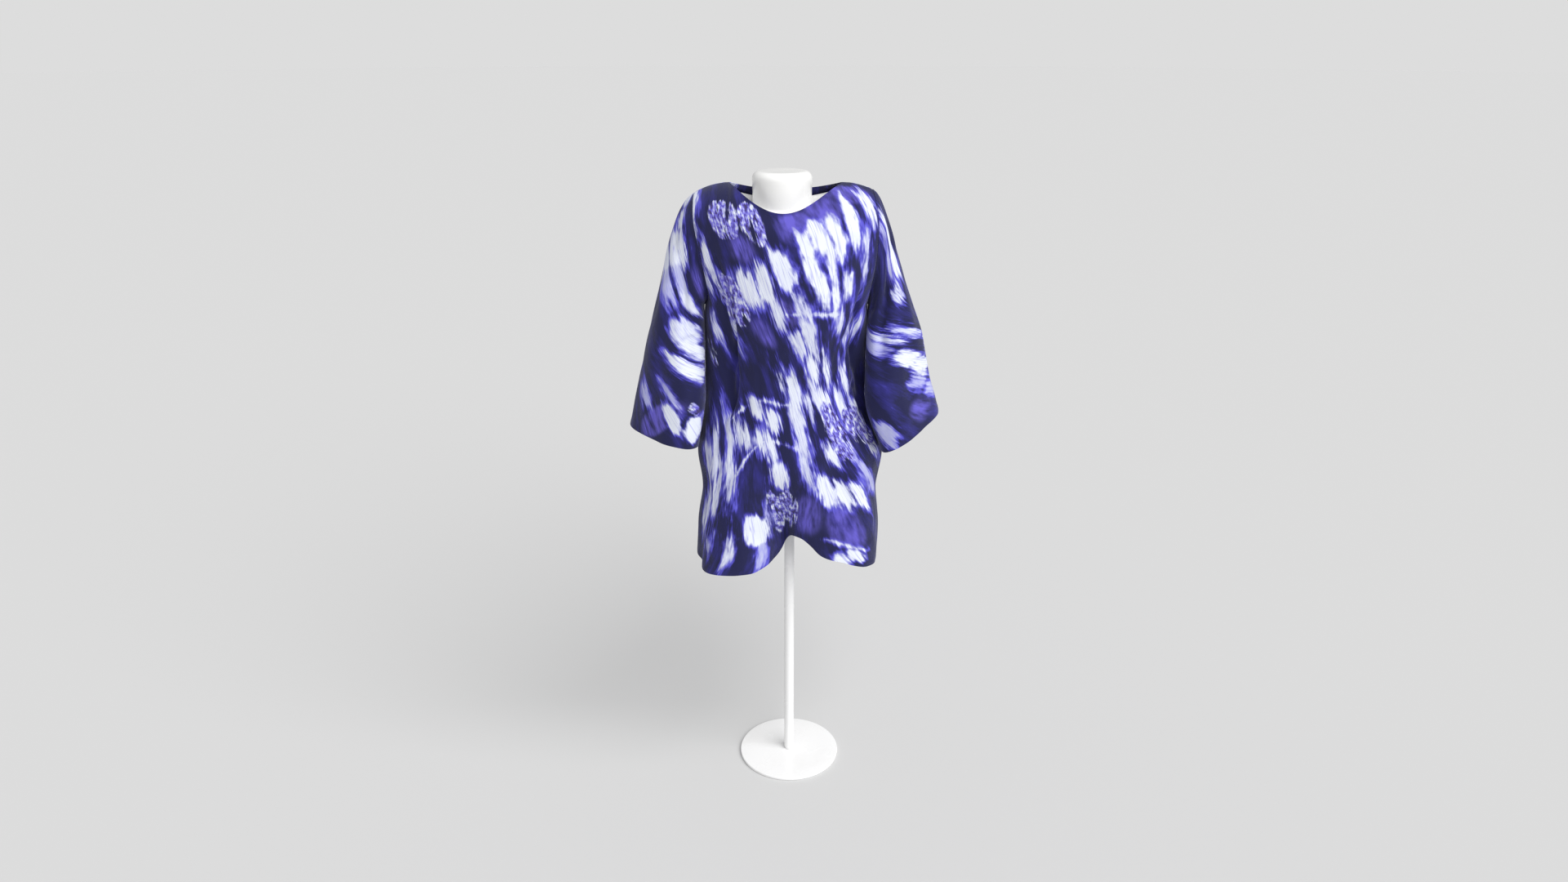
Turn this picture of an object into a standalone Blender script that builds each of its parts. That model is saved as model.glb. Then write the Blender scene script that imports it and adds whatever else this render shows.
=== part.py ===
"""A loose tunic blouse on a smooth limbless dress form with a pole and a round base.

Metres, +Z up, the front faces -Y. The origin is on the floor, under the middle of the base.
The blouse is four cut pieces: front, back and two set-in sleeves. Each is a wall of cloth whose
outer skin runs through the sections of a table, with the folds of another table pushed into it.
Left and right are as seen from the front: left is -X.
"""

from collections import namedtuple
from math import asin, pi, radians

import bmesh
import bpy
import numpy as np

COLLECTION = "blouse_on_dress_form"

# Cloth
CLOTH = 0.0016  # thickness of the wall
SEAM = 0.0003  # gap between two pieces that are sewn together

# Stand
BASE_RADIUS = 0.123
BASE_HEIGHT = 0.007
BASE_EDGE = 0.002
BASE_SIDES = 64
POLE_RADIUS = 0.0118
POLE_SIDES = 28
SEAT_GAP = 0.0003  # gap between the pole and what it stands on or goes into
SOCKET_TOP = 0.850  # how high the pole reaches into the form

# Top edge of the blouse
TIP_LEFT = -0.201  # shoulder tips, where the shoulder seam meets the sleeve
TIP_RIGHT = 0.173
TIP_LEFT_Z = 1.402
TIP_RIGHT_Z = 1.409
NECK_SHARE_LEFT = 0.60  # neck points, as shares of the way from the middle to the tips
NECK_SHARE_RIGHT = 0.66
NECK_POINT_Z = 1.4235
SHOULDER_ARCH = 2.2  # 1 is a straight shoulder seam, and more keeps it high up to the tip
NECKLINE_FRONT_Y = -0.099
NECKLINE_FRONT_Z = 1.3735
NECKLINE_BACK_Y = 0.072
NECKLINE_BACK_Z = 1.400
DIP_LEFT = 1.4  # how sharply the neckline dips: under 1 is a U, and more is nearer a V
DIP_RIGHT = 1.8
DIP_BACK = 0.8
TOP_MIDDLE = (TIP_LEFT + TIP_RIGHT) / 2
TOP_HALF = (TIP_RIGHT - TIP_LEFT) / 2

# How finely each piece is cut. The rows run up from the hem, and a ring goes round a sleeve.
LOW_ROWS = 18
ARMHOLE_ROWS = 9
YOKE_ROWS = 6
FRONT_SPANS = (12, 19)  # spans of the mesh across a shoulder seam, and across the neckline
BACK_SPANS = (9, 12)
SLEEVE_RINGS = (0.0, 0.12, 0.28, 0.46, 0.70, 1.0, 1.20, 1.42, 1.66, 1.84, 2.0)
FORM_COLUMNS = 28

# Each material's colour and roughness
FINISHES = {
    "dyed_cloth": ((0.075, 0.055, 0.30, 1.0), 0.85),
    "form_shell": ((0.90, 0.90, 0.89, 1.0), 0.25),
    "stand_metal": ((0.88, 0.88, 0.88, 1.0), 0.30),
}

# Sections of the body of the blouse, from the hem to the chest line. `at` is the share of the
# way up. `armhole` is how far the armhole's edge stands forward or back from the middle of the
# side, and `bow` is how round the section is, from 0.4 (square) to 1 (shallow).
BodySection = namedtuple(
    "BodySection",
    "name at side_z front_z back_z left right front back armhole bow_front bow_back",
)
BODY_SECTIONS = [
    BodySection("hem", 0.00, 0.573, 0.590, 0.580, -0.217, 0.202, -0.146, 0.158, 0.0, 0.38, 0.42),
    BodySection("thigh", 0.13, 0.662, 0.670, 0.665, -0.212, 0.205, -0.143, 0.154, 0.0, 0.42, 0.45),
    BodySection("low_hip", 0.25, 0.748, 0.750, 0.749, -0.200, 0.198, -0.140, 0.150, 0.0, 0.46, 0.48),
    BodySection("hip", 0.37, 0.835, 0.835, 0.835, -0.209, 0.210, -0.133, 0.141, 0.0, 0.47, 0.48),
    BodySection("high_hip", 0.49, 0.925, 0.925, 0.925, -0.191, 0.181, -0.124, 0.122, 0.0, 0.48, 0.49),
    BodySection("waist", 0.61, 1.015, 1.015, 1.015, -0.187, 0.169, -0.120, 0.104, 0.0, 0.48, 0.50),
    BodySection("ribs", 0.72, 1.095, 1.095, 1.095, -0.185, 0.167, -0.131, 0.103, 0.0, 0.47, 0.50),
    BodySection("underarm", 0.81, 1.165, 1.165, 1.165, -0.181, 0.167, -0.144, 0.108, 0.0, 0.46, 0.50),
    BodySection("arm_low", 0.85, 1.184, 1.200, 1.194, -0.175, 0.168, -0.145, 0.110, 0.030, 0.60, 0.68),
    BodySection("arm_mid", 0.90, 1.218, 1.240, 1.234, -0.177, 0.173, -0.141, 0.110, 0.050, 0.78, 0.98),
    BodySection("bust_top", 0.95, 1.268, 1.285, 1.280, -0.185, 0.181, -0.133, 0.109, 0.059, 0.90, 1.18),
    BodySection("chest", 1.00, 1.328, 1.332, 1.328, -0.197, 0.184, -0.121, 0.105, 0.058, 0.96, 1.12),
]
UNDERARM_AT = 0.81

# The hem of the front, from left to right: it hangs in two lobes beside a raised notch.
HemPoint = namedtuple("HemPoint", "name at height")
FRONT_HEM = [
    HemPoint("left_side", -0.217, 0.573),
    HemPoint("left_corner", -0.185, 0.568),
    HemPoint("left_lobe", -0.130, 0.573),
    HemPoint("left_rise", -0.070, 0.581),
    HemPoint("notch_left", -0.025, 0.607),
    HemPoint("notch_top", 0.008, 0.645),
    HemPoint("notch_right", 0.035, 0.652),
    HemPoint("right_rise", 0.075, 0.618),
    HemPoint("right_drop", 0.115, 0.603),
    HemPoint("right_lobe", 0.155, 0.584),
    HemPoint("right_side", 0.202, 0.573),
]
HEM_REACH = 0.30  # how far up the cloth follows the shape of its hem

# Sections of each sleeve, from the upper arm to the cuff. `outer` is the side away from the
# body and `inner` the side next to it, and `front` and `back` are how far it reaches from the
# line between them.
SleeveSection = namedtuple(
    "SleeveSection", "name at outer_x outer_z inner_x inner_y inner_z front back bow"
)
LEFT_SLEEVE = [
    SleeveSection("upper_arm", 0.00, -0.2885, 1.175, -0.1825, -0.030, 1.128, -0.060, 0.085, 0.50),
    SleeveSection("above_elbow", 0.33, -0.3100, 1.095, -0.1830, -0.055, 1.040, -0.068, 0.085, 0.48),
    SleeveSection("elbow", 0.66, -0.3335, 1.000, -0.1845, -0.066, 0.955, -0.072, 0.087, 0.47),
    SleeveSection("cuff", 1.00, -0.3580, 0.894, -0.2010, -0.064, 0.863, -0.070, 0.092, 0.40),
]
RIGHT_SLEEVE = [
    SleeveSection("upper_arm", 0.00, 0.2620, 1.175, 0.1655, -0.030, 1.128, -0.058, 0.085, 0.50),
    SleeveSection("above_elbow", 0.33, 0.2885, 1.100, 0.1625, -0.058, 1.040, -0.066, 0.085, 0.48),
    SleeveSection("elbow", 0.66, 0.3080, 1.014, 0.1660, -0.068, 0.950, -0.071, 0.087, 0.47),
    SleeveSection("cuff", 1.00, 0.3330, 0.927, 0.2020, -0.064, 0.852, -0.070, 0.092, 0.40),
]
LEFT_CAP = 0.66  # how far each sleeve stands out from the shoulder before it drops
RIGHT_CAP = 0.38
ARM_PULL = 1.00  # how early it has settled into the upper arm
DOWNWARD = -0.25  # how much it leans down where it leaves the underarm

# Folds of the body. Angles go round from the middle of the front (0) to the right side (90) and
# the middle of the back (180), at the fold's top, middle and bottom heights. A fold is at full
# depth between `full_top` and `full_bottom`, and a negative depth is a valley.
Fold = namedtuple(
    "Fold", "name angle_top angle_mid angle_bottom top full_top full_bottom bottom width depth"
)
BODY_FOLDS = [
    Fold("middle_valley", -6, -3, 2, 0.84, 0.63, 0.50, 0.40, 15, -0.085),
    Fold("left_lobe", -38, -44, -48, 0.92, 0.66, 0.50, 0.40, 20, 0.020),
    Fold("right_lobe", 44, 50, 54, 0.92, 0.66, 0.50, 0.40, 20, 0.018),
    Fold("left_side_valley", -72, -48, -46, 1.27, 1.12, 1.00, 0.87, 8, -0.019),
    Fold("right_side_valley", 78, 60, 68, 1.24, 1.12, 1.02, 0.90, 8, -0.018),
    Fold("left_waist_pucker", -32, -31, -30, 1.12, 1.05, 0.98, 0.88, 7, -0.006),
    Fold("right_waist_pucker", 42, 37, 40, 1.16, 1.06, 0.98, 0.86, 7, -0.007),
    Fold("left_hip_fold", -70, -72, -72, 0.86, 0.76, 0.50, 0.40, 9, -0.009),
    Fold("right_hip_fold", 30, 28, 24, 0.90, 0.80, 0.66, 0.58, 9, -0.009),
    Fold("back_valley", 184, 182, 180, 0.92, 0.64, 0.50, 0.40, 14, -0.030),
    Fold("back_left_lobe", 212, 215, 218, 0.95, 0.64, 0.50, 0.40, 16, 0.018),
    Fold("back_right_lobe", 148, 144, 140, 0.95, 0.64, 0.50, 0.40, 16, 0.018),
    Fold("back_left_pucker", 218, 215, 212, 1.16, 1.08, 0.98, 0.84, 10, -0.010),
    Fold("back_right_pucker", 142, 146, 150, 1.18, 1.06, 0.97, 0.86, 10, -0.010),
]

# Folds of the sleeves, by the turn round the sleeve (0 inner side, 90 front, 180 outer side,
# 270 back) and the share of the way from the armhole (0) to the cuff (2).
SLEEVE_FOLDS = [
    Fold("front_valley", 100, 84, 60, 0.25, 0.60, 1.10, 1.60, 18, -0.010),
    Fold("outer_ridge", 128, 132, 140, 0.50, 0.90, 1.30, 1.70, 18, 0.006),
    Fold("cuff_valley", 110, 115, 120, 1.20, 1.60, 2.50, 3.00, 20, -0.006),
    Fold("back_valley", 258, 268, 276, 0.30, 0.65, 1.10, 1.60, 20, -0.009),
    Fold("back_cuff_valley", 240, 236, 232, 1.20, 1.60, 2.50, 3.00, 20, -0.008),
]

# Sections of the dress form, from its underside up over the shoulders to the neck's top.
FormSection = namedtuple("FormSection", "name left right side_z front front_z back back_z bow")
FORM_SECTIONS = [
    FormSection("underside", -0.146, 0.144, 0.784, -0.086, 0.784, 0.096, 0.784, 0.48),
    FormSection("rim", -0.156, 0.154, 0.789, -0.095, 0.789, 0.105, 0.789, 0.48),
    FormSection("rim_side", -0.161, 0.159, 0.800, -0.099, 0.800, 0.109, 0.800, 0.48),
    FormSection("hip", -0.166, 0.162, 0.860, -0.103, 0.860, 0.113, 0.860, 0.48),
    FormSection("high_hip", -0.154, 0.146, 0.940, -0.098, 0.940, 0.097, 0.940, 0.48),
    FormSection("waist", -0.130, 0.116, 1.030, -0.088, 1.030, 0.076, 1.030, 0.49),
    FormSection("ribs", -0.135, 0.119, 1.110, -0.098, 1.110, 0.078, 1.110, 0.49),
    FormSection("under_bust", -0.142, 0.126, 1.160, -0.110, 1.160, 0.083, 1.160, 0.50),
    FormSection("bust", -0.150, 0.134, 1.205, -0.118, 1.205, 0.089, 1.205, 0.50),
    FormSection("above_bust", -0.156, 0.140, 1.250, -0.113, 1.250, 0.093, 1.250, 0.52),
    FormSection("chest", -0.163, 0.145, 1.300, -0.102, 1.300, 0.093, 1.300, 0.56),
    FormSection("arm_top", -0.173, 0.147, 1.350, -0.092, 1.335, 0.086, 1.343, 0.60),
    FormSection("shoulder_side", -0.178, 0.150, 1.391, -0.085, 1.352, 0.079, 1.364, 0.62),
    FormSection("shoulder_edge", -0.174, 0.146, 1.410, -0.080, 1.360, 0.073, 1.373, 0.62),
    FormSection("shoulder", -0.162, 0.134, 1.4165, -0.076, 1.366, 0.068, 1.380, 0.60),
    FormSection("shoulder_mid", -0.138, 0.108, 1.405, -0.072, 1.371, 0.064, 1.380, 0.56),
    FormSection("neck_slope", -0.105, 0.074, 1.384, -0.067, 1.373, 0.0625, 1.374, 0.52),
    FormSection("neck_root", -0.081, 0.048, 1.376, -0.064, 1.376, 0.0623, 1.373, 0.50),
    FormSection("neck_low", -0.080, 0.047, 1.383, -0.0635, 1.383, 0.0622, 1.380, 0.50),
    FormSection("neck", -0.080, 0.047, 1.431, -0.0635, 1.431, 0.0635, 1.431, 0.50),
]
NECK_X = -0.0165  # middle of the neck
NECK_RADIUS = 0.0635
NECK_TOP = 1.447
NECK_EDGE_RINGS = 5


def smooth_step(x):
    """Rises from 0 at x = 0 to 1 at x = 1, level at both ends."""
    x = np.clip(x, 0.0, 1.0)
    return x * x * (3.0 - 2.0 * x)


def through(rows, column, at):
    """A smooth curve through one column of a table of sections, read at each value of `at`."""
    knots = np.array([row.at for row in rows])
    values = np.array([getattr(row, column) for row in rows])
    slopes = np.gradient(values, knots)
    span = np.clip(np.searchsorted(knots, at, side="right") - 1, 0, len(knots) - 2)
    length = knots[span + 1] - knots[span]
    t = (at - knots[span]) / length
    return (
        values[span] * (2 * t**3 - 3 * t**2 + 1)
        + slopes[span] * length * (t**3 - 2 * t**2 + t)
        + values[span + 1] * (3 * t**2 - 2 * t**3)
        + slopes[span + 1] * length * (t**3 - t**2)
    )


def bridge(start, start_way, end, end_way, t):
    """A cubic from start to end that leaves and arrives along the two given ways."""
    t = t[..., None]
    return (
        start * (2 * t**3 - 3 * t**2 + 1)
        + start_way * (t**3 - 2 * t**2 + t)
        + end * (3 * t**2 - 2 * t**3)
        + end_way * (t**3 - t**2)
    )


def unit(ways):
    """The same directions at length 1."""
    return ways / np.linalg.norm(ways, axis=-1, keepdims=True)


def body_section_point(face, theta, at):
    """A point of the body below the chest line. face is -1 on the front and 1 on the back, and
    theta runs from the left side (-90 degrees) through the middle to the right side."""
    name = "front" if face < 0 else "back"
    left, right = through(BODY_SECTIONS, "left", at), through(BODY_SECTIONS, "right", at)
    side_z = through(BODY_SECTIONS, "side_z", at)
    middle = through(BODY_SECTIONS, name, at)
    middle_z = through(BODY_SECTIONS, name + "_z", at)
    bow = through(BODY_SECTIONS, "bow_" + name, at)
    stand = np.where(at > UNDERARM_AT, np.maximum(through(BODY_SECTIONS, "armhole", at), 0.0), 0.0)
    edge = face * stand
    across = np.clip(np.cos(theta), 0.0, 1.0)
    x = (left + right) / 2 + np.sin(theta) * (right - left) / 2
    y = edge + (middle - edge) * across ** (2 * bow)
    z = side_z + (middle_z - side_z) * across**2
    if face < 0:
        hem = BODY_SECTIONS[0]
        level_hem = hem.side_z + (hem.front_z - hem.side_z) * across**2
        z = z + (through(FRONT_HEM, "height", x) - level_hem) * smooth_step(1 - at / HEM_REACH)
    return np.stack([x, y, z], axis=-1)


def top_edge_point(face, theta):
    """A point of the top edge: the shoulder seam at the sides and the neckline between."""
    across = np.sin(theta)
    neck_share = np.where(across < 0, NECK_SHARE_LEFT, NECK_SHARE_RIGHT)
    share = np.abs(across) / neck_share
    inside = np.clip(1 - share**2, 0.0, 1.0)
    reach = NECKLINE_FRONT_Y if face < 0 else NECKLINE_BACK_Y
    low_z = NECKLINE_FRONT_Z if face < 0 else NECKLINE_BACK_Z
    dip = np.where(across < 0, DIP_LEFT, DIP_RIGHT) if face < 0 else DIP_BACK
    neckline_z = NECK_POINT_Z + (low_z - NECK_POINT_Z) * inside**dip
    along_seam = np.clip((share - 1) / (1 / neck_share - 1), 0.0, 1.0)
    tip_z = np.where(across < 0, TIP_LEFT_Z, TIP_RIGHT_Z)
    seam_z = NECK_POINT_Z + (tip_z - NECK_POINT_Z) * along_seam**SHOULDER_ARCH
    x = TOP_MIDDLE + across * TOP_HALF
    return np.stack([x, reach * inside**0.62, np.where(share < 1, neckline_z, seam_z)], axis=-1)


def smooth_body_point(face, theta, at):
    """A point of the body before folds. at runs from 0 at the hem to 1 at the chest line and 2
    at the top edge; the yoke between bends back over the shoulder."""
    theta, at = np.broadcast_arrays(np.asarray(theta, float), np.asarray(at, float))
    below = body_section_point(face, theta, np.minimum(at, 1.0))
    chest = body_section_point(face, theta, np.ones_like(at))
    rise = unit(chest - body_section_point(face, theta, np.full_like(at, 0.99)))
    top = top_edge_point(face, theta)
    reach = 1.05 * np.linalg.norm(top - chest, axis=-1, keepdims=True)
    on_seam = smooth_step((np.abs(np.sin(theta)) - 0.35) / 0.27)[..., None]
    over_shoulder = np.array([0.0, -face * 1.0, 0.08])
    up_to_neck = np.array([0.0, -face * 0.42, 0.9])
    arrive = over_shoulder * on_seam + up_to_neck * (1 - on_seam)
    yoke = bridge(chest, rise * reach, top, arrive * reach, np.clip(at - 1, 0.0, 1.0))
    return np.where((at > 1.0)[..., None], yoke, below)


def fold_depth(folds, angle, height):
    """How far a table of folds pushes the cloth out at an angle and a height. The height may
    run down (heights in metres) or up (shares of a sleeve), as the table's rows do."""
    total = np.zeros(np.broadcast(angle, height).shape)
    for fold in folds:
        share = np.clip((fold.top - height) / (fold.top - fold.full_bottom), 0.0, 1.0)
        middle = (
            fold.angle_top * (1 - share) * (1 - 2 * share)
            + fold.angle_mid * 4 * share * (1 - share)
            + fold.angle_bottom * share * (2 * share - 1)
        )
        off = (angle - middle + 180.0) % 360.0 - 180.0
        rising = smooth_step((fold.top - height) / (fold.top - fold.full_top))
        falling = smooth_step((height - fold.bottom) / (fold.full_bottom - fold.bottom))
        total = total + fold.depth * rising * falling * np.exp(-((off / fold.width) ** 2))
    return total


def body_point(face, theta, at):
    """A point of the blouse's body with its folds. Each fold moves the cloth level, away from
    the middle, by its angle alone, so the front and back still meet at the sides."""
    smooth = smooth_body_point(face, theta, at)
    angle = np.degrees(np.broadcast_to(theta, smooth.shape[:-1]))
    angle = angle if face < 0 else 180.0 - angle
    out = np.stack([np.sin(np.radians(angle)), -np.cos(np.radians(angle)), 0 * angle], axis=-1)
    return smooth + out * fold_depth(BODY_FOLDS, angle, smooth[..., 2])[..., None]


def body_normal(face, theta, at):
    """The outward normal of the blouse's body, from small steps along the surface. On a seam
    between front and back it lies level with the seam, so both pieces share it."""
    whole_theta, whole_at = theta, at
    theta = np.clip(theta, radians(-87), radians(87))
    at = np.clip(at, 0.004, 1.99)
    across = body_point(face, theta + radians(1), at) - body_point(face, theta - radians(1), at)
    upward = body_point(face, theta, at + 0.004) - body_point(face, theta, at - 0.004)
    normal = np.cross(across, upward) * -face
    on_seam = np.abs(body_point(face, whole_theta, whole_at)[..., 1]) < 1e-6
    normal[..., 1] = np.where(on_seam, 0.0, normal[..., 1])
    return unit(normal)


def body_rows():
    """The rows of the mesh: even up to the underarm, then over the armhole and the yoke."""
    low = np.linspace(0.0, UNDERARM_AT, LOW_ROWS, endpoint=False)
    armhole = np.linspace(UNDERARM_AT, 1.0, ARMHOLE_ROWS, endpoint=False)
    return np.concatenate([low, armhole, np.linspace(1.0, 2.0, YOKE_ROWS)])


def body_columns(spans):
    """The columns of the mesh from the left side to the right, with one at each neck point."""
    seam_spans, neck_spans = spans
    left, right = -asin(NECK_SHARE_LEFT), asin(NECK_SHARE_RIGHT)
    return np.concatenate([
        np.linspace(-pi / 2, left, seam_spans, endpoint=False),
        np.linspace(left, right, neck_spans, endpoint=False),
        np.linspace(right, pi / 2, seam_spans + 1),
    ])


def wall_faces(rows, columns, closed):
    """Quads of a wall whose outer points come first and whose inner points follow."""
    count = rows * columns
    faces = []
    spans = [(c, (c + 1) % columns) for c in range(columns if closed else columns - 1)]
    for row in range(rows - 1):
        low, high = row * columns, (row + 1) * columns
        for here, beside in spans:
            quad = (low + here, low + beside, high + beside, high + here)
            faces.append(quad)
            faces.append(tuple(count + quad[corner] for corner in (0, 3, 2, 1)))
        if not closed:
            low_end, high_end = low + columns - 1, high + columns - 1
            faces.append((low, high, count + high, count + low))
            faces.append((high_end, low_end, count + low_end, count + high_end))
    last = (rows - 1) * columns
    for here, beside in spans:
        faces.append((beside, here, count + here, count + beside))
        faces.append((last + here, last + beside, count + last + beside, count + last + here))
    return faces


def material(name):
    """A finish from the table, made once."""
    made = bpy.data.materials.get(name)
    if made is None:
        colour, roughness = FINISHES[name]
        made = bpy.data.materials.new(name)
        made.use_nodes = True
        made.diffuse_color = colour
        shader = made.node_tree.nodes["Principled BSDF"]
        shader.inputs["Base Color"].default_value = colour
        shader.inputs["Roughness"].default_value = roughness
    return made


def add_object(name, mesh, material_name):
    """Puts a mesh in the collection under its own name and finish."""
    mesh.materials.append(material(material_name))
    made = bpy.data.objects.new(name, mesh)
    bpy.data.collections[COLLECTION].objects.link(made)
    return made


def add_closed_mesh(name, points, faces, material_name):
    """Makes a closed body of points and faces, with every face turned outwards."""
    mesh = bpy.data.meshes.new(name)
    mesh.from_pydata(points.tolist(), [], faces)
    shape = bmesh.new()
    shape.from_mesh(mesh)
    bmesh.ops.recalc_face_normals(shape, faces=shape.faces)
    shape.to_mesh(mesh)
    shape.free()
    mesh.shade_smooth()
    return add_object(name, mesh, material_name)


def add_wall(name, outer, inner, closed=False):
    """A wall of cloth between two grids of points."""
    rows, columns = outer.shape[:2]
    points = np.concatenate([outer.reshape(-1, 3), inner.reshape(-1, 3)])
    return add_closed_mesh(name, points, wall_faces(rows, columns, closed), "dyed_cloth")


def add_body_panel(name, face, spans):
    """The front (face -1) or back (face 1) of the blouse."""
    theta, at = np.meshgrid(body_columns(spans), body_rows())
    outer = body_point(face, theta, at)
    inner = outer - body_normal(face, theta, at) * CLOTH
    shift = np.array([0.0, face * SEAM / 2, 0.0])
    return add_wall(name, outer + shift, inner + shift)


def armhole_edge(side):
    """The edge of one armhole, from the underarm up the front, over the tip and down the back:
    its points, the ways square to it that lead out of the body's cloth, and each point's turn
    round the sleeve."""
    at = body_rows()[LOW_ROWS:]
    theta = np.full_like(at, side * pi / 2)
    points = [body_point(face, theta, at) for face in (-1, 1)]
    normals = [body_normal(face, theta, at) for face in (-1, 1)]
    turns = []
    for run in points:
        length = np.concatenate([[0.0], np.cumsum(np.linalg.norm(np.diff(run, axis=0), axis=1))])
        turns.append(pi * length / length[-1])
    back_down = slice(-2, 0, -1)
    edge = np.concatenate([points[0], points[1][back_down]])
    normal = np.concatenate([normals[0], normals[1][back_down]])
    turn = np.concatenate([turns[0], 2 * pi - turns[1][back_down]])
    square = unit(np.cross(np.roll(edge, -1, axis=0) - np.roll(edge, 1, axis=0), normal))
    return edge, square * side * np.sign(np.mean(square[:, 0])), turn


def sleeve_section_point(rows, turn, at):
    """A point of the sleeve from the upper arm (at 0) to the cuff (at 1)."""
    outer = [through(rows, "outer_x", at), 0 * at, through(rows, "outer_z", at)]
    inner = [through(rows, name, at) for name in ("inner_x", "inner_y", "inner_z")]
    outer, inner = np.stack(outer, axis=-1), np.stack(inner, axis=-1)
    point = (outer + inner) / 2 - (outer - inner) / 2 * np.cos(turn)[..., None]
    ahead = np.sin(turn)
    reach = np.where(ahead > 0, through(rows, "front", at), through(rows, "back", at))
    point[..., 1] += reach * np.abs(ahead) ** (2 * through(rows, "bow", at))
    return point


def smooth_sleeve(side, rows, cap):
    """The sleeve's rings before folds: it leaves the armhole square to its edge at the top and
    sideways at the underarm, bends over into the upper arm, and widens down to the cuff."""
    edge, square, turn = armhole_edge(side)
    under = (1 + np.cos(turn))[:, None] / 2
    leave = unit(square * (1 - under) + unit(np.array([side, 0.0, DOWNWARD])) * under)
    level = np.zeros_like(turn)
    arm = sleeve_section_point(rows, turn, level)
    down = unit(sleeve_section_point(rows, turn, level + 0.05) - arm)
    reach = np.linalg.norm(arm - edge, axis=-1, keepdims=True)
    rings = []
    for at in SLEEVE_RINGS:
        if at <= 1.0:
            rings.append(bridge(edge, leave * reach * cap, arm, down * reach * ARM_PULL, level + at))
        else:
            rings.append(sleeve_section_point(rows, turn, level + at - 1.0))
    return np.array(rings), square, turn


def grid_normal(rings, side):
    """The outward normals of a grid of rings."""
    along = np.gradient(rings, axis=0)
    across = np.roll(rings, -1, axis=1) - np.roll(rings, 1, axis=1)
    return unit(np.cross(along, across) * side)


def add_sleeve(name, side, rows, cap):
    """A set-in sleeve with its folds, a hair outside the armhole's edge. There the thickness of
    its wall is taken along the edge of the body's wall, so the two lie side by side."""
    rings, square, turn = smooth_sleeve(side, rows, cap)
    at = np.array(SLEEVE_RINGS)[:, None]
    depth = fold_depth(SLEEVE_FOLDS, np.degrees(turn)[None, :], at)
    outer = rings + grid_normal(rings, side) * depth[..., None]
    normal = grid_normal(outer, side)
    towards_body = np.clip(np.sum(normal[0] * square, axis=-1, keepdims=True), 0.0, 1.0)
    normal[0] = unit(normal[0] - square * towards_body)
    inner = outer - normal * CLOTH
    shift = np.array([side * SEAM, 0.0, SEAM * 0.8])
    return add_wall(name, outer + shift, inner + shift, closed=True)


def form_ring(section):
    """One ring of the dress form: its sides stand at one height, its front and back at others."""
    turn = np.arange(FORM_COLUMNS) * 2 * pi / FORM_COLUMNS
    ahead = np.cos(turn)
    bulge = np.abs(ahead) ** (2 * section.bow)
    middle_z = np.where(ahead > 0, section.front_z, section.back_z)
    x = (section.left + section.right) / 2 + np.sin(turn) * (section.right - section.left) / 2
    y = np.where(ahead > 0, section.front, section.back) * bulge
    return np.stack([x, y, section.side_z + (middle_z - section.side_z) * ahead**2], axis=-1)


def round_ring(x, radius, z):
    """A level round ring with the form's columns."""
    turn = np.arange(FORM_COLUMNS) * 2 * pi / FORM_COLUMNS
    return np.stack([x + radius * np.sin(turn), -radius * np.cos(turn), z + 0 * turn], axis=-1)


def add_form():
    """The dress form: a loft from the pole's socket out over the underside, up the torso, over
    the shoulders and up the neck, whose top edge is rounded."""
    socket = POLE_RADIUS + SEAT_GAP
    rings = [round_ring(0.0, socket, SOCKET_TOP), round_ring(0.0, socket, FORM_SECTIONS[0].side_z)]
    rings += [form_ring(section) for section in FORM_SECTIONS]
    edge = NECK_TOP - FORM_SECTIONS[-1].side_z
    for step in range(1, NECK_EDGE_RINGS + 1):
        turn = step * pi / 2 / NECK_EDGE_RINGS
        radius = NECK_RADIUS - edge * (1 - np.cos(turn))
        rings.append(round_ring(NECK_X, radius, NECK_TOP - edge * (1 - np.sin(turn))))
    faces = [tuple(range(FORM_COLUMNS))]
    faces.append(tuple(range((len(rings) - 1) * FORM_COLUMNS, len(rings) * FORM_COLUMNS)))
    for ring in range(len(rings) - 1):
        low, high = ring * FORM_COLUMNS, (ring + 1) * FORM_COLUMNS
        for here in range(FORM_COLUMNS):
            beside = (here + 1) % FORM_COLUMNS
            faces.append((low + here, low + beside, high + beside, high + here))
    return add_closed_mesh("form_torso", np.concatenate(rings), faces, "form_shell")


def add_cylinder(name, radius, low, high, sides):
    """A plain upright cylinder on the origin's axis."""
    shape = bmesh.new()
    bmesh.ops.create_cone(
        shape, cap_ends=True, segments=sides, radius1=radius, radius2=radius, depth=high - low
    )
    bmesh.ops.translate(shape, verts=shape.verts, vec=(0.0, 0.0, (low + high) / 2))
    mesh = bpy.data.meshes.new(name)
    shape.to_mesh(mesh)
    shape.free()
    mesh.shade_smooth()
    mesh.set_sharp_from_angle(angle=radians(40))
    return add_object(name, mesh, "stand_metal")


def add_stand():
    """The pole and the round base plate, whose edge is rounded over."""
    add_cylinder("stand_pole", POLE_RADIUS, BASE_HEIGHT + SEAT_GAP, SOCKET_TOP - SEAT_GAP, POLE_SIDES)
    base = add_cylinder("stand_base", BASE_RADIUS, 0.0, BASE_HEIGHT, BASE_SIDES)
    rim = base.modifiers.new("rounded_rim", "BEVEL")
    rim.width = BASE_EDGE
    rim.segments = 2
    rim.limit_method = "ANGLE"


def clear_scene():
    """Removes what the scene holds and makes the collection."""
    for found in list(bpy.data.objects):
        bpy.data.objects.remove(found, do_unlink=True)
    collection = bpy.data.collections.new(COLLECTION)
    bpy.context.scene.collection.children.link(collection)


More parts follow.
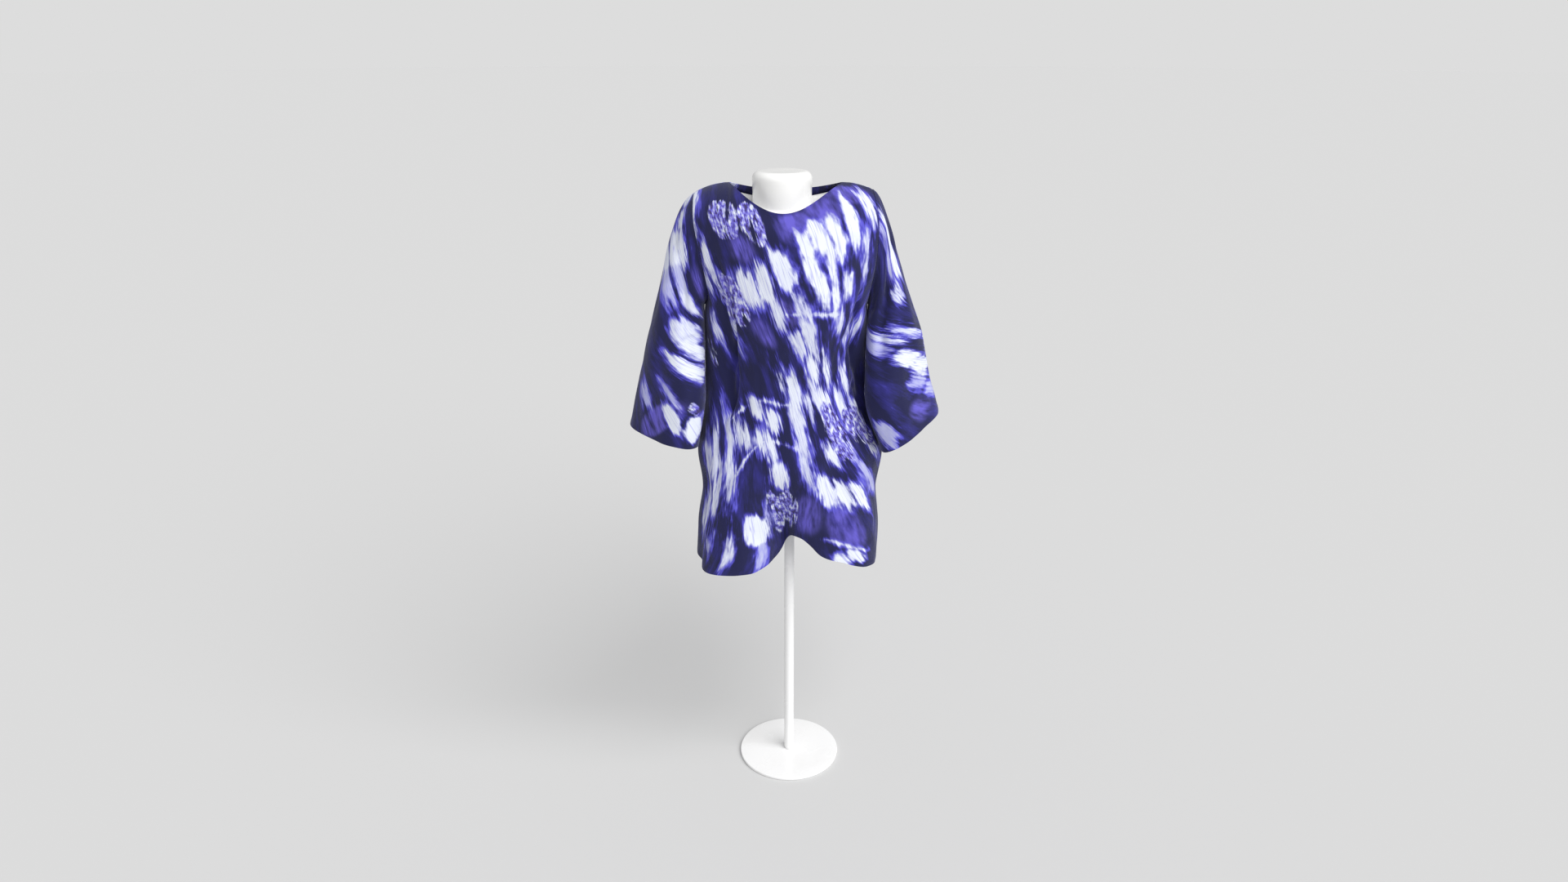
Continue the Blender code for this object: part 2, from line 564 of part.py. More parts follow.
def main():
    """Builds the blouse, the form that it hangs on, and the stand."""
    clear_scene()
    add_body_panel("blouse_front", -1, FRONT_SPANS)
    add_body_panel("blouse_back", 1, BACK_SPANS)
    add_sleeve("sleeve_left", -1, LEFT_SLEEVE, LEFT_CAP)
    add_sleeve("sleeve_right", 1, RIGHT_SLEEVE, RIGHT_CAP)
    add_form()
    add_stand()


main()
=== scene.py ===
"""The looks of a tie-dyed tunic blouse on a white limbless dress form.

Metres, +Z up, the front faces -Y, left is -X. The cloth is four thin shells, worked out as whole
arrays from the same sections and folds as the solids, with small creases laid over them. Its dye
is laid on the cloth's own measure: `across` runs along a row of points and `up` along a column,
both in metres of cloth. Places along the body run from 0 at the hem over 1 at the chest line to
2 at the top edge, and along a sleeve's sections from 0 at the upper arm to 1 at the cuff.
"""

from collections import namedtuple
from math import cos, pi, radians, sin

import bpy
import numpy as np
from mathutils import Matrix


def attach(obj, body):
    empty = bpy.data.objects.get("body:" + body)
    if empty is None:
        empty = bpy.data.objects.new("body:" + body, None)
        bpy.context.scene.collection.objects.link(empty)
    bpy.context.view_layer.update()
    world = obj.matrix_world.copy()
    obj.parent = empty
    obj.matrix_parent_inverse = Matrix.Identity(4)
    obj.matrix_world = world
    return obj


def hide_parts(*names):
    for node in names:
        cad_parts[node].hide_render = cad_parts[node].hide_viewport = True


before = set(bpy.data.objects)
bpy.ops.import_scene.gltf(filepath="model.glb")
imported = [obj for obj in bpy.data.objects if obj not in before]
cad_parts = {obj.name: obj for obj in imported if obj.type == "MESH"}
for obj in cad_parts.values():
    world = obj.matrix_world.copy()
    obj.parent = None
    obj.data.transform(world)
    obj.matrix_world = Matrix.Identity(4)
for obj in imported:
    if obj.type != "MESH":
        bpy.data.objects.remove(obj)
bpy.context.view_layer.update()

# The shape of the blouse, as in the solids
SEAM = 0.0003  # gap between two pieces that are sewn together
TIP_LEFT = -0.201  # shoulder tips, where the shoulder seam meets the sleeve
TIP_RIGHT = 0.173
TIP_LEFT_Z = 1.402
TIP_RIGHT_Z = 1.409
NECK_SHARE_LEFT = 0.60  # neck points, as shares of the way from the middle to the tips
NECK_SHARE_RIGHT = 0.66
NECK_POINT_Z = 1.4235
SHOULDER_ARCH = 2.2  # power of the shoulder seam's fall towards the tip
NECKLINE_FRONT_Y = -0.099
NECKLINE_FRONT_Z = 1.3735
NECKLINE_BACK_Y = 0.072
NECKLINE_BACK_Z = 1.400
DIP_LEFT = 1.4  # how sharply the neckline dips: under 1 is a U, and more is nearer a V
DIP_RIGHT = 1.8
DIP_BACK = 0.8
TOP_MIDDLE = (TIP_LEFT + TIP_RIGHT) / 2
TOP_HALF = (TIP_RIGHT - TIP_LEFT) / 2
UNDERARM_AT = 0.81  # where the armhole ends below
HEM_REACH = 0.30  # where the front hem's waves have faded out
LEFT_CAP = 0.66  # how hard a sleeve pulls out of the armhole, over its way to the arm
RIGHT_CAP = 0.38
ARM_PULL = 1.00  # the same where it comes to the upper arm
DOWNWARD = -0.25  # how far down it leaves the underarm, for 1 sideways
NECKLINE_BOW = 0.62  # power of the neckline's curve as seen from above
YOKE_REACH = 1.05  # pull of the cubic from the chest line to the top edge, over its span
BELOW_CHEST = 0.99  # the cubic leaves along the cloth's way from here to the chest line
SHOULDER_FROM = 0.35  # share of the half width from which the cloth bends over the shoulder
SHOULDER_SPAN = 0.27
OVER_SHOULDER = (1.00, 0.08)  # the way in at the top edge: level towards the seam, and up
UP_TO_NECK = (0.42, 0.90)

BodySection = namedtuple(
    "BodySection",
    "name at side_z front_z back_z left right front back armhole bow_front bow_back",
)
BODY_SECTIONS = [
    BodySection("hem", 0.00, 0.573, 0.590, 0.580, -0.217, 0.202, -0.146, 0.158, 0.0, 0.38, 0.42),
    BodySection("thigh", 0.13, 0.662, 0.670, 0.665, -0.212, 0.205, -0.143, 0.154, 0.0, 0.42, 0.45),
    BodySection("low_hip", 0.25, 0.748, 0.750, 0.749, -0.200, 0.198, -0.140, 0.150, 0.0, 0.46, 0.48),
    BodySection("hip", 0.37, 0.835, 0.835, 0.835, -0.209, 0.210, -0.133, 0.141, 0.0, 0.47, 0.48),
    BodySection("high_hip", 0.49, 0.925, 0.925, 0.925, -0.191, 0.181, -0.124, 0.122, 0.0, 0.48, 0.49),
    BodySection("waist", 0.61, 1.015, 1.015, 1.015, -0.187, 0.169, -0.120, 0.104, 0.0, 0.48, 0.50),
    BodySection("ribs", 0.72, 1.095, 1.095, 1.095, -0.185, 0.167, -0.131, 0.103, 0.0, 0.47, 0.50),
    BodySection("underarm", 0.81, 1.165, 1.165, 1.165, -0.181, 0.167, -0.144, 0.108, 0.0, 0.46, 0.50),
    BodySection("arm_low", 0.85, 1.184, 1.200, 1.194, -0.175, 0.168, -0.145, 0.110, 0.030, 0.60, 0.68),
    BodySection("arm_mid", 0.90, 1.218, 1.240, 1.234, -0.177, 0.173, -0.141, 0.110, 0.050, 0.78, 0.98),
    BodySection("bust_top", 0.95, 1.268, 1.285, 1.280, -0.185, 0.181, -0.133, 0.109, 0.059, 0.90, 1.18),
    BodySection("chest", 1.00, 1.328, 1.332, 1.328, -0.197, 0.184, -0.121, 0.105, 0.058, 0.96, 1.12),
]
HemPoint = namedtuple("HemPoint", "name at height")
FRONT_HEM = [
    HemPoint("left_side", -0.217, 0.573),
    HemPoint("left_corner", -0.185, 0.568),
    HemPoint("left_lobe", -0.130, 0.573),
    HemPoint("left_rise", -0.070, 0.581),
    HemPoint("notch_left", -0.025, 0.607),
    HemPoint("notch_top", 0.008, 0.645),
    HemPoint("notch_right", 0.035, 0.652),
    HemPoint("right_rise", 0.075, 0.618),
    HemPoint("right_drop", 0.115, 0.603),
    HemPoint("right_lobe", 0.155, 0.584),
    HemPoint("right_side", 0.202, 0.573),
]
SleeveSection = namedtuple(
    "SleeveSection", "name at outer_x outer_z inner_x inner_y inner_z front back bow"
)
LEFT_SLEEVE = [
    SleeveSection("upper_arm", 0.00, -0.2885, 1.175, -0.1825, -0.030, 1.128, -0.060, 0.085, 0.50),
    SleeveSection("above_elbow", 0.33, -0.3100, 1.095, -0.1830, -0.055, 1.040, -0.068, 0.085, 0.48),
    SleeveSection("elbow", 0.66, -0.3335, 1.000, -0.1845, -0.066, 0.955, -0.072, 0.087, 0.47),
    SleeveSection("cuff", 1.00, -0.3580, 0.894, -0.2010, -0.064, 0.863, -0.070, 0.092, 0.40),
]
RIGHT_SLEEVE = [
    SleeveSection("upper_arm", 0.00, 0.2620, 1.175, 0.1655, -0.030, 1.128, -0.058, 0.085, 0.50),
    SleeveSection("above_elbow", 0.33, 0.2885, 1.100, 0.1625, -0.058, 1.040, -0.066, 0.085, 0.48),
    SleeveSection("elbow", 0.66, 0.3080, 1.014, 0.1660, -0.068, 0.950, -0.071, 0.087, 0.47),
    SleeveSection("cuff", 1.00, 0.3330, 0.927, 0.2020, -0.064, 0.852, -0.070, 0.092, 0.40),
]
# Folds: a middle line through three angles in degrees, the places where it starts, is full and
# ends, a width in degrees and a depth in metres. On the body the angles run from the middle of
# the front to the right, and the places are heights in metres.
Fold = namedtuple(
    "Fold", "name angle_top angle_mid angle_bottom top full_top full_bottom bottom width depth"
)
BODY_FOLDS = [
    Fold("middle_valley", -6, -3, 2, 0.84, 0.63, 0.50, 0.40, 15, -0.085),
    Fold("left_lobe", -38, -44, -48, 0.92, 0.66, 0.50, 0.40, 20, 0.020),
    Fold("right_lobe", 44, 50, 54, 0.92, 0.66, 0.50, 0.40, 20, 0.018),
    Fold("left_side_valley", -72, -48, -46, 1.27, 1.12, 1.00, 0.87, 8, -0.019),
    Fold("right_side_valley", 78, 60, 68, 1.24, 1.12, 1.02, 0.90, 8, -0.018),
    Fold("left_waist_pucker", -32, -31, -30, 1.12, 1.05, 0.98, 0.88, 7, -0.006),
    Fold("right_waist_pucker", 42, 37, 40, 1.16, 1.06, 0.98, 0.86, 7, -0.007),
    Fold("left_hip_fold", -70, -72, -72, 0.86, 0.76, 0.50, 0.40, 9, -0.009),
    Fold("right_hip_fold", 30, 28, 24, 0.90, 0.80, 0.66, 0.58, 9, -0.009),
    Fold("back_valley", 184, 182, 180, 0.92, 0.64, 0.50, 0.40, 14, -0.030),
    Fold("back_left_lobe", 212, 215, 218, 0.95, 0.64, 0.50, 0.40, 16, 0.018),
    Fold("back_right_lobe", 148, 144, 140, 0.95, 0.64, 0.50, 0.40, 16, 0.018),
    Fold("back_left_pucker", 218, 215, 212, 1.16, 1.08, 0.98, 0.84, 10, -0.010),
    Fold("back_right_pucker", 142, 146, 150, 1.18, 1.06, 0.97, 0.86, 10, -0.010),
]
# On a sleeve the angles run from its inner line over the front, and the places from 0 at the
# armhole over 1 at the upper arm to 2 at the cuff
SLEEVE_FOLDS = [
    Fold("front_valley", 100, 84, 60, 0.25, 0.60, 1.10, 1.60, 18, -0.010),
    Fold("outer_ridge", 128, 132, 140, 0.50, 0.90, 1.30, 1.70, 18, 0.006),
    Fold("cuff_valley", 110, 115, 120, 1.20, 1.60, 2.50, 3.00, 20, -0.006),
    Fold("back_valley", 258, 268, 276, 0.30, 0.65, 1.10, 1.60, 20, -0.009),
    Fold("back_cuff_valley", 240, 236, 232, 1.20, 1.60, 2.50, 3.00, 20, -0.008),
]

# How finely the cloth is worked out: rows, then columns
FRONT_GRID = (300, 150)
BACK_GRID = (290, 140)
SLEEVE_GRID = (135, 140)
ROW_SPREAD = ((0, 0.05, 0.85, 0.95, 1), (0, 0.024, 1, 1.86, 2))  # share of the rows, place
COLUMN_SPREAD = ((0, 0.04, 0.96, 1), (-90, -87, 87, 90))  # share of the columns, degrees
ARMHOLE_STEPS = 500
NORMAL_TURN = 1  # degrees: the step sideways from which a normal is worked out
NORMAL_STEP = 0.004  # the same step along the body
NORMAL_EDGES = (87, 1.99)  # normals are worked out no nearer a side or the top than this
SLEEVE_STEP = 0.05  # share along a sleeve from which its way at the upper arm is worked out
ON_SEAM = 1e-6  # a point this near the plane between front and back lies on their seam
SHARP_ANGLE = 50  # degrees between two faces from which their edge is sharp

# Small creases: soft troughs (negative depth) and ridges, from one end to the other, in metres of
# cloth. `width` is how far from its line a crease has died away to a third. The back's first two
# are made up: they close the slits that would show under the arms.
Crease = namedtuple("Crease", "across0 up0 across1 up1 width depth")
FRONT_CREASES = [
    Crease(-0.158, 1.270, -0.138, 1.040, 0.0060, -0.0080),
    Crease(-0.128, 1.100, -0.150, 0.930, 0.0060, -0.0060),
    Crease(0.168, 1.215, 0.142, 1.040, 0.0060, -0.0075),
    Crease(0.128, 1.120, 0.110, 0.990, 0.0055, -0.0045),
    Crease(0.150, 1.010, 0.200, 0.860, 0.0065, -0.0060),
    Crease(-0.120, 1.345, -0.175, 1.250, 0.011, -0.0022),
    Crease(-0.150, 1.360, -0.195, 1.270, 0.008, 0.0016),
    Crease(0.115, 1.345, 0.175, 1.245, 0.012, -0.0024),
    Crease(0.150, 1.350, 0.190, 1.260, 0.008, 0.0016),
    Crease(-0.060, 1.310, -0.020, 1.230, 0.014, 0.0018),
    Crease(0.030, 1.300, 0.060, 1.215, 0.014, 0.0020),
    Crease(-0.185, 1.230, -0.125, 1.130, 0.008, -0.0030),
    Crease(-0.170, 1.215, -0.100, 1.085, 0.007, 0.0022),
    Crease(-0.150, 1.150, -0.105, 1.040, 0.007, -0.0026),
    Crease(-0.115, 1.140, -0.085, 0.990, 0.008, 0.0020),
    Crease(-0.095, 1.120, -0.070, 0.985, 0.006, -0.0018),
    Crease(-0.175, 1.080, -0.140, 0.960, 0.008, -0.0028),
    Crease(-0.150, 1.030, -0.130, 0.900, 0.008, 0.0024),
    Crease(0.170, 1.235, 0.120, 1.120, 0.008, -0.0030),
    Crease(0.185, 1.200, 0.140, 1.080, 0.007, 0.0022),
    Crease(0.160, 1.160, 0.105, 1.040, 0.006, -0.0026),
    Crease(0.135, 1.150, 0.085, 1.020, 0.007, 0.0022),
    Crease(0.120, 1.130, 0.070, 0.990, 0.006, -0.0020),
    Crease(0.160, 1.110, 0.125, 0.965, 0.007, -0.0028),
    Crease(0.145, 1.060, 0.125, 0.930, 0.007, 0.0022),
    Crease(0.185, 1.060, 0.165, 0.930, 0.009, -0.0030),
    Crease(-0.020, 1.110, -0.010, 0.960, 0.009, -0.0014),
    Crease(0.030, 1.100, 0.035, 0.950, 0.009, 0.0014),
    Crease(0.060, 1.060, 0.045, 0.920, 0.008, -0.0016),
    Crease(0.100, 0.960, 0.170, 0.850, 0.009, -0.0026),
    Crease(0.125, 0.985, 0.205, 0.850, 0.008, 0.0024),
    Crease(0.150, 0.990, 0.225, 0.880, 0.007, -0.0022),
    Crease(-0.120, 0.940, -0.150, 0.760, 0.009, -0.0026),
    Crease(-0.145, 0.900, -0.175, 0.700, 0.008, 0.0024),
    Crease(-0.170, 0.880, -0.205, 0.690, 0.008, -0.0030),
    Crease(-0.190, 0.760, -0.230, 0.610, 0.010, 0.0026),
    Crease(-0.160, 0.720, -0.190, 0.590, 0.009, -0.0022),
    Crease(-0.215, 0.850, -0.250, 0.720, 0.010, -0.0024),
    Crease(-0.075, 0.880, -0.095, 0.740, 0.012, 0.0016),
    Crease(-0.055, 0.760, -0.075, 0.630, 0.012, -0.0020),
    Crease(0.020, 0.900, 0.010, 0.760, 0.010, -0.0018),
    Crease(0.070, 0.860, 0.085, 0.700, 0.012, 0.0020),
    Crease(0.105, 0.800, 0.145, 0.660, 0.011, -0.0024),
    Crease(0.145, 0.800, 0.195, 0.640, 0.010, 0.0022),
    Crease(0.180, 0.790, 0.230, 0.650, 0.009, -0.0024),
    Crease(0.215, 0.720, 0.265, 0.600, 0.010, 0.0020),
]
BACK_CREASES = [
    Crease(-0.199, 1.220, -0.200, 1.050, 0.013, 0.0250),
    Crease(0.210, 1.220, 0.211, 1.050, 0.013, 0.0250),
    Crease(-0.110, 1.370, -0.165, 1.270, 0.010, -0.0020),
    Crease(0.115, 1.365, 0.160, 1.270, 0.010, -0.0022),
    Crease(-0.075, 1.340, -0.100, 1.240, 0.013, 0.0018),
    Crease(0.060, 1.350, 0.085, 1.230, 0.013, 0.0016),
    Crease(-0.170, 1.230, -0.110, 1.110, 0.008, -0.0028),
    Crease(-0.160, 1.190, -0.100, 1.060, 0.007, 0.0022),
    Crease(-0.130, 1.130, -0.085, 0.990, 0.007, -0.0026),
    Crease(0.165, 1.230, 0.110, 1.120, 0.008, -0.0030),
    Crease(0.150, 1.180, 0.095, 1.050, 0.007, 0.0022),
    Crease(0.125, 1.140, 0.080, 0.985, 0.008, -0.0024),
    Crease(-0.040, 1.150, -0.025, 0.990, 0.010, -0.0016),
    Crease(0.030, 1.130, 0.015, 0.980, 0.010, 0.0018),
    Crease(-0.150, 1.060, -0.135, 0.930, 0.008, -0.0026),
    Crease(0.150, 1.050, 0.140, 0.925, 0.008, -0.0026),
    Crease(-0.110, 0.960, -0.150, 0.800, 0.010, 0.0022),
    Crease(-0.140, 0.930, -0.195, 0.750, 0.009, -0.0026),
    Crease(0.105, 0.950, 0.160, 0.790, 0.010, 0.0024),
    Crease(0.140, 0.920, 0.200, 0.740, 0.009, -0.0024),
    Crease(-0.050, 0.930, -0.075, 0.760, 0.011, -0.0018),
    Crease(0.055, 0.900, 0.070, 0.740, 0.011, -0.0020),
    Crease(-0.210, 0.780, -0.240, 0.620, 0.010, 0.0024),
    Crease(-0.165, 0.740, -0.190, 0.600, 0.010, -0.0024),
    Crease(0.205, 0.760, 0.245, 0.610, 0.010, 0.0022),
    Crease(0.165, 0.720, 0.190, 0.600, 0.010, -0.0024),
    Crease(-0.020, 0.820, -0.030, 0.660, 0.012, 0.0018),
    Crease(0.105, 0.730, 0.120, 0.600, 0.012, 0.0018),
]
LEFT_SLEEVE_CREASES = [
    Crease(-0.010, 0.520, -0.070, 0.400, 0.010, -0.0026),
    Crease(-0.045, 0.480, -0.105, 0.370, 0.009, 0.0022),
    Crease(-0.190, 0.330, -0.120, 0.290, 0.008, -0.0030),
    Crease(-0.215, 0.300, -0.130, 0.250, 0.008, 0.0026),
    Crease(-0.225, 0.265, -0.120, 0.225, 0.008, -0.0030),
    Crease(-0.220, 0.220, -0.140, 0.190, 0.009, 0.0022),
    Crease(-0.055, 0.340, -0.075, 0.200, 0.012, 0.0020),
    Crease(-0.095, 0.330, -0.105, 0.180, 0.010, -0.0022),
    Crease(-0.150, 0.170, -0.165, 0.040, 0.012, 0.0024),
    Crease(-0.190, 0.160, -0.210, 0.030, 0.010, -0.0024),
    Crease(0.060, 0.420, 0.115, 0.300, 0.010, -0.0026),
    Crease(0.200, 0.310, 0.120, 0.260, 0.008, -0.0028),
    Crease(0.210, 0.260, 0.115, 0.210, 0.008, 0.0024),
    Crease(0.070, 0.290, 0.085, 0.120, 0.011, -0.0022),
    Crease(0.150, 0.180, 0.165, 0.040, 0.012, 0.0022),
    Crease(0.205, 0.150, 0.215, 0.040, 0.010, -0.0020),
]
RIGHT_SLEEVE_CREASES = [
    Crease(-0.020, 0.480, -0.075, 0.370, 0.010, -0.0026),
    Crease(-0.060, 0.460, -0.120, 0.350, 0.009, 0.0022),
    Crease(-0.200, 0.320, -0.110, 0.300, 0.008, -0.0034),
    Crease(-0.210, 0.285, -0.095, 0.265, 0.008, 0.0030),
    Crease(-0.215, 0.250, -0.080, 0.235, 0.008, -0.0034),
    Crease(-0.210, 0.215, -0.100, 0.205, 0.009, 0.0026),
    Crease(-0.200, 0.180, -0.110, 0.175, 0.009, -0.0024),
    Crease(-0.060, 0.330, -0.060, 0.180, 0.012, 0.0020),
    Crease(-0.160, 0.150, -0.150, 0.030, 0.012, 0.0024),
    Crease(-0.205, 0.140, -0.195, 0.030, 0.010, -0.0024),
    Crease(-0.060, 0.150, -0.050, 0.030, 0.012, -0.0020),
    Crease(0.060, 0.420, 0.115, 0.300, 0.010, -0.0026),
    Crease(0.195, 0.300, 0.110, 0.260, 0.008, -0.0028),
    Crease(0.205, 0.250, 0.110, 0.215, 0.008, 0.0024),
    Crease(0.075, 0.270, 0.080, 0.110, 0.011, -0.0022),
    Crease(0.150, 0.160, 0.160, 0.030, 0.012, 0.0022),
]

# The cloth's finish, in metres
SHELL = 0.0009  # thickness of the cloth
SEAM_DITCH = 0.0007  # how deep a seam pulls the cloth in, and how far beside it
SEAM_REACH = 0.0035
BAND_RISE = 0.0004  # a turned and stitched edge: its thickness, width and stitch line
HEM_BAND = 0.014
NECK_BAND = 0.009
STITCH_DEPTH = 0.0005
STITCH_REACH = 0.0014
RIPPLE = 0.0009  # small unevenness of hanging cloth
SNUG_FROM = 1.33  # above this height the cloth lies on the form, so its creases are flatter
RIPPLE_SIZE = 0.05
RIPPLE_STRETCH = 2.2  # how much longer the ripples are along the cloth than across
WAVE_COUNT = 14
WAVE_SCALES = (0.6, 1.6)
WAVE_SUM = 4.0  # brings the sum of the waves to about 1
CREASE_BEND = 0.10  # how far a crease bows out, as a share of its length
CREASE_OVER = 0.2  # how far it runs on past its ends while it fades, as a share of its length
BAND_SLOPE = 0.002  # width of the step at a turned edge
STITCH_INSET = 0.003
SNUG_SHARE = 0.7  # how much flatter the creases get on the form, and over what height
SNUG_SPAN = 0.05
FLAT_AT_SIDE = 0.012  # distances from an edge within which the creases fade out
FLAT_AT_ARM = 0.050
FLAT_AT_TOP = 0.02
FLAT_AT_CAP = 0.03
FLAT_AT_SLEEVE_SEAM = 0.060
ARM_LOW = 0.98  # heights between which the side of the body lies beside the arm
ARM_HIGH = 1.24
ARM_FADE = 0.05
NECK_POINT_FROM = 0.97  # shares of the way to the neck point where neckline turns into seam
NECK_POINT_SPAN = 0.06
SLEEVE_SEAM_FADE = 0.01
CAP_DITCH = 0.6  # the ditch along the armhole seam: its share of a seam's, its place and reach
CAP_DITCH_AT = 0.004
CAP_DITCH_REACH = 0.003
CAP_RISE = 0.8  # how far up a sleeve is moved, in seam gaps, beside one gap outwards

# The dye. Its streaks lean as these rows say, from the hem up, in degrees from straight down: a
# positive lean goes right. The side columns are LEAN_SPAN from the middle one. On a sleeve the
# middle is the outer line, left of it is the half in front, and right of it the half behind.
# The front's and the sleeves' rows are summed up, in steps of 5 degrees, from leans that were
# read off the photograph. The back's are made up.
LeanRow = namedtuple("LeanRow", "up left middle right")
FRONT_LEANS = [
    LeanRow(0.60, -30, 0, 45),
    LeanRow(0.72, -25, 5, 35),
    LeanRow(0.84, 0, 10, 35),
    LeanRow(0.94, 15, 15, 25),
    LeanRow(1.04, 25, 15, 10),
    LeanRow(1.15, 25, 20, -25),
    LeanRow(1.25, 15, 20, 0),
    LeanRow(1.40, 25, 25, 5),
]
BACK_LEANS = [
    LeanRow(0.66, -35, -10, 20),
    LeanRow(0.88, -30, -10, 10),
    LeanRow(1.03, -15, -15, 0),
    LeanRow(1.18, -20, -20, 10),
    LeanRow(1.36, -20, -10, 10),
]
LEFT_SLEEVE_LEANS = [
    LeanRow(0.06, -40, -30, -60),
    LeanRow(0.16, -75, -35, -60),
    LeanRow(0.28, -60, -25, -55),
    LeanRow(0.42, -40, -40, -50),
]
RIGHT_SLEEVE_LEANS = [
    LeanRow(0.08, 30, 65, 60),
    LeanRow(0.20, 45, 60, 55),
    LeanRow(0.30, 40, 20, 45),
    LeanRow(0.44, 10, -10, 40),
]
LEAN_SPAN = 0.18
STREAK_CELL = 0.006  # step of the plan on which the streaks are carried
PLAN_SIDE = (-0.9, 0.9)  # reach of the plan, across and along
PLAN_ALONG = (-0.5, 1.9)
LAST_CELL = 1.001  # keeps the far neighbour of the last cell inside the plan
LEAN_LIMIT = 70  # degrees off the base lean
NEAR_STEP = 0.004

# Rows of patches that the dye left pale, coloured otherwise or mottled: where the first and the
# last of a row lie, and their usual length along the streaks and width across. The rows were
# merged and rounded from a chart of strokes that was read off the photograph.
PatchRow = namedtuple("PatchRow", "tone count across0 up0 across1 up1 length width")
# In these rows and in the sleeves' rows, grey is partly painted shade: pale patches that lie in shade
# are given greyer than the lit ones.
FRONT_ROWS = [
    PatchRow("white", 3, -0.24, 1.42, -0.19, 1.30, 0.07, 0.016),
    PatchRow("white", 3, 0.08, 1.31, 0.13, 1.37, 0.11, 0.027),
    PatchRow("white", 2, 0.03, 1.31, 0.06, 1.33, 0.07, 0.030),
    PatchRow("white", 2, 0.14, 1.37, 0.18, 1.40, 0.08, 0.022),
    PatchRow("grey", 1, 0.17, 1.30, 0.17, 1.30, 0.11, 0.014),
    PatchRow("white", 2, -0.01, 1.28, 0.04, 1.27, 0.11, 0.030),
    PatchRow("white", 2, -0.09, 1.24, -0.05, 1.24, 0.09, 0.032),
    PatchRow("white", 3, 0.07, 1.22, 0.13, 1.24, 0.06, 0.018),
    PatchRow("grey", 3, -0.20, 1.25, -0.12, 1.20, 0.08, 0.017),
    PatchRow("grey", 2, -0.03, 1.20, 0.03, 1.19, 0.07, 0.022),
    PatchRow("grey", 2, -0.18, 1.14, -0.13, 1.14, 0.06, 0.013),
    PatchRow("grey", 2, 0.01, 1.12, 0.05, 1.13, 0.09, 0.022),
    PatchRow("grey", 3, 0.11, 1.16, 0.17, 1.13, 0.05, 0.015),
    PatchRow("white", 2, -0.02, 1.04, 0.01, 1.01, 0.09, 0.018),
    PatchRow("white", 3, 0.05, 1.06, 0.12, 1.03, 0.07, 0.018),
    PatchRow("grey", 3, 0.02, 0.95, 0.06, 0.99, 0.09, 0.020),
    PatchRow("white", 2, -0.08, 0.97, -0.04, 0.95, 0.05, 0.025),
    PatchRow("white", 3, 0.08, 0.97, 0.16, 0.94, 0.09, 0.022),
    PatchRow("white", 4, -0.12, 0.91, -0.04, 0.88, 0.06, 0.018),
    PatchRow("grey", 3, -0.20, 0.82, -0.14, 0.89, 0.11, 0.018),
    PatchRow("grey", 2, 0.03, 0.89, 0.04, 0.82, 0.08, 0.018),
    PatchRow("white", 1, 0.19, 0.87, 0.19, 0.87, 0.10, 0.017),
    PatchRow("white", 2, -0.01, 0.83, 0.08, 0.85, 0.06, 0.024),
    PatchRow("white", 3, 0.08, 0.78, 0.16, 0.76, 0.08, 0.030),
    PatchRow("grey", 3, -0.21, 0.73, -0.14, 0.78, 0.12, 0.018),
    PatchRow("white", 1, -0.10, 0.68, -0.10, 0.68, 0.09, 0.050),
    PatchRow("grey", 3, -0.28, 0.68, -0.18, 0.64, 0.10, 0.014),
    PatchRow("lilac", 2, -0.11, 0.62, -0.06, 0.70, 0.07, 0.018),
    PatchRow("lilac", 3, 0.14, 0.85, 0.21, 0.77, 0.07, 0.015),
    PatchRow("white", 2, 0.16, 0.61, 0.20, 0.62, 0.05, 0.020),
    PatchRow("crackle", 2, -0.14, 1.38, -0.08, 1.36, 0.11, 0.046),
    PatchRow("crackle", 1, -0.13, 1.20, -0.13, 1.20, 0.13, 0.055),
    PatchRow("crackle", 1, -0.19, 1.08, -0.19, 1.08, 0.09, 0.022),
    PatchRow("crackle", 2, 0.10, 0.91, 0.16, 0.91, 0.14, 0.046),
    PatchRow("crackle", 2, -0.04, 0.71, 0.01, 0.73, 0.14, 0.040),
    PatchRow("violet", 3, 0.01, 1.37, 0.17, 1.44, 0.06, 0.080),
    PatchRow("violet", 1, -0.10, 1.32, -0.10, 1.32, 0.07, 0.045),
    PatchRow("violet", 2, -0.06, 1.14, -0.01, 1.19, 0.06, 0.040),
    PatchRow("violet", 2, 0.05, 0.72, 0.15, 0.69, 0.11, 0.060),
]
LEFT_SLEEVE_ROWS = [
    PatchRow("white", 2, -0.03, 0.48, 0.00, 0.52, 0.05, 0.022),
    PatchRow("white", 3, -0.08, 0.42, -0.02, 0.39, 0.10, 0.030),
    PatchRow("white", 1, -0.12, 0.32, -0.12, 0.32, 0.09, 0.032),
    PatchRow("lilac", 2, -0.09, 0.35, -0.05, 0.34, 0.10, 0.030),
    PatchRow("grey", 1, -0.13, 0.25, -0.13, 0.25, 0.10, 0.038),
    PatchRow("white", 2, -0.17, 0.22, -0.16, 0.17, 0.10, 0.024),
    PatchRow("lilac", 2, -0.15, 0.12, -0.07, 0.09, 0.06, 0.018),
    PatchRow("white", 2, -0.20, 0.04, -0.15, 0.07, 0.06, 0.038),
    PatchRow("violet", 1, -0.17, 0.36, -0.17, 0.36, 0.10, 0.035),
    PatchRow("violet", 1, -0.11, 0.04, -0.11, 0.04, 0.06, 0.090),
    PatchRow("crackle", 1, -0.19, 0.10, -0.19, 0.10, 0.06, 0.030),
]
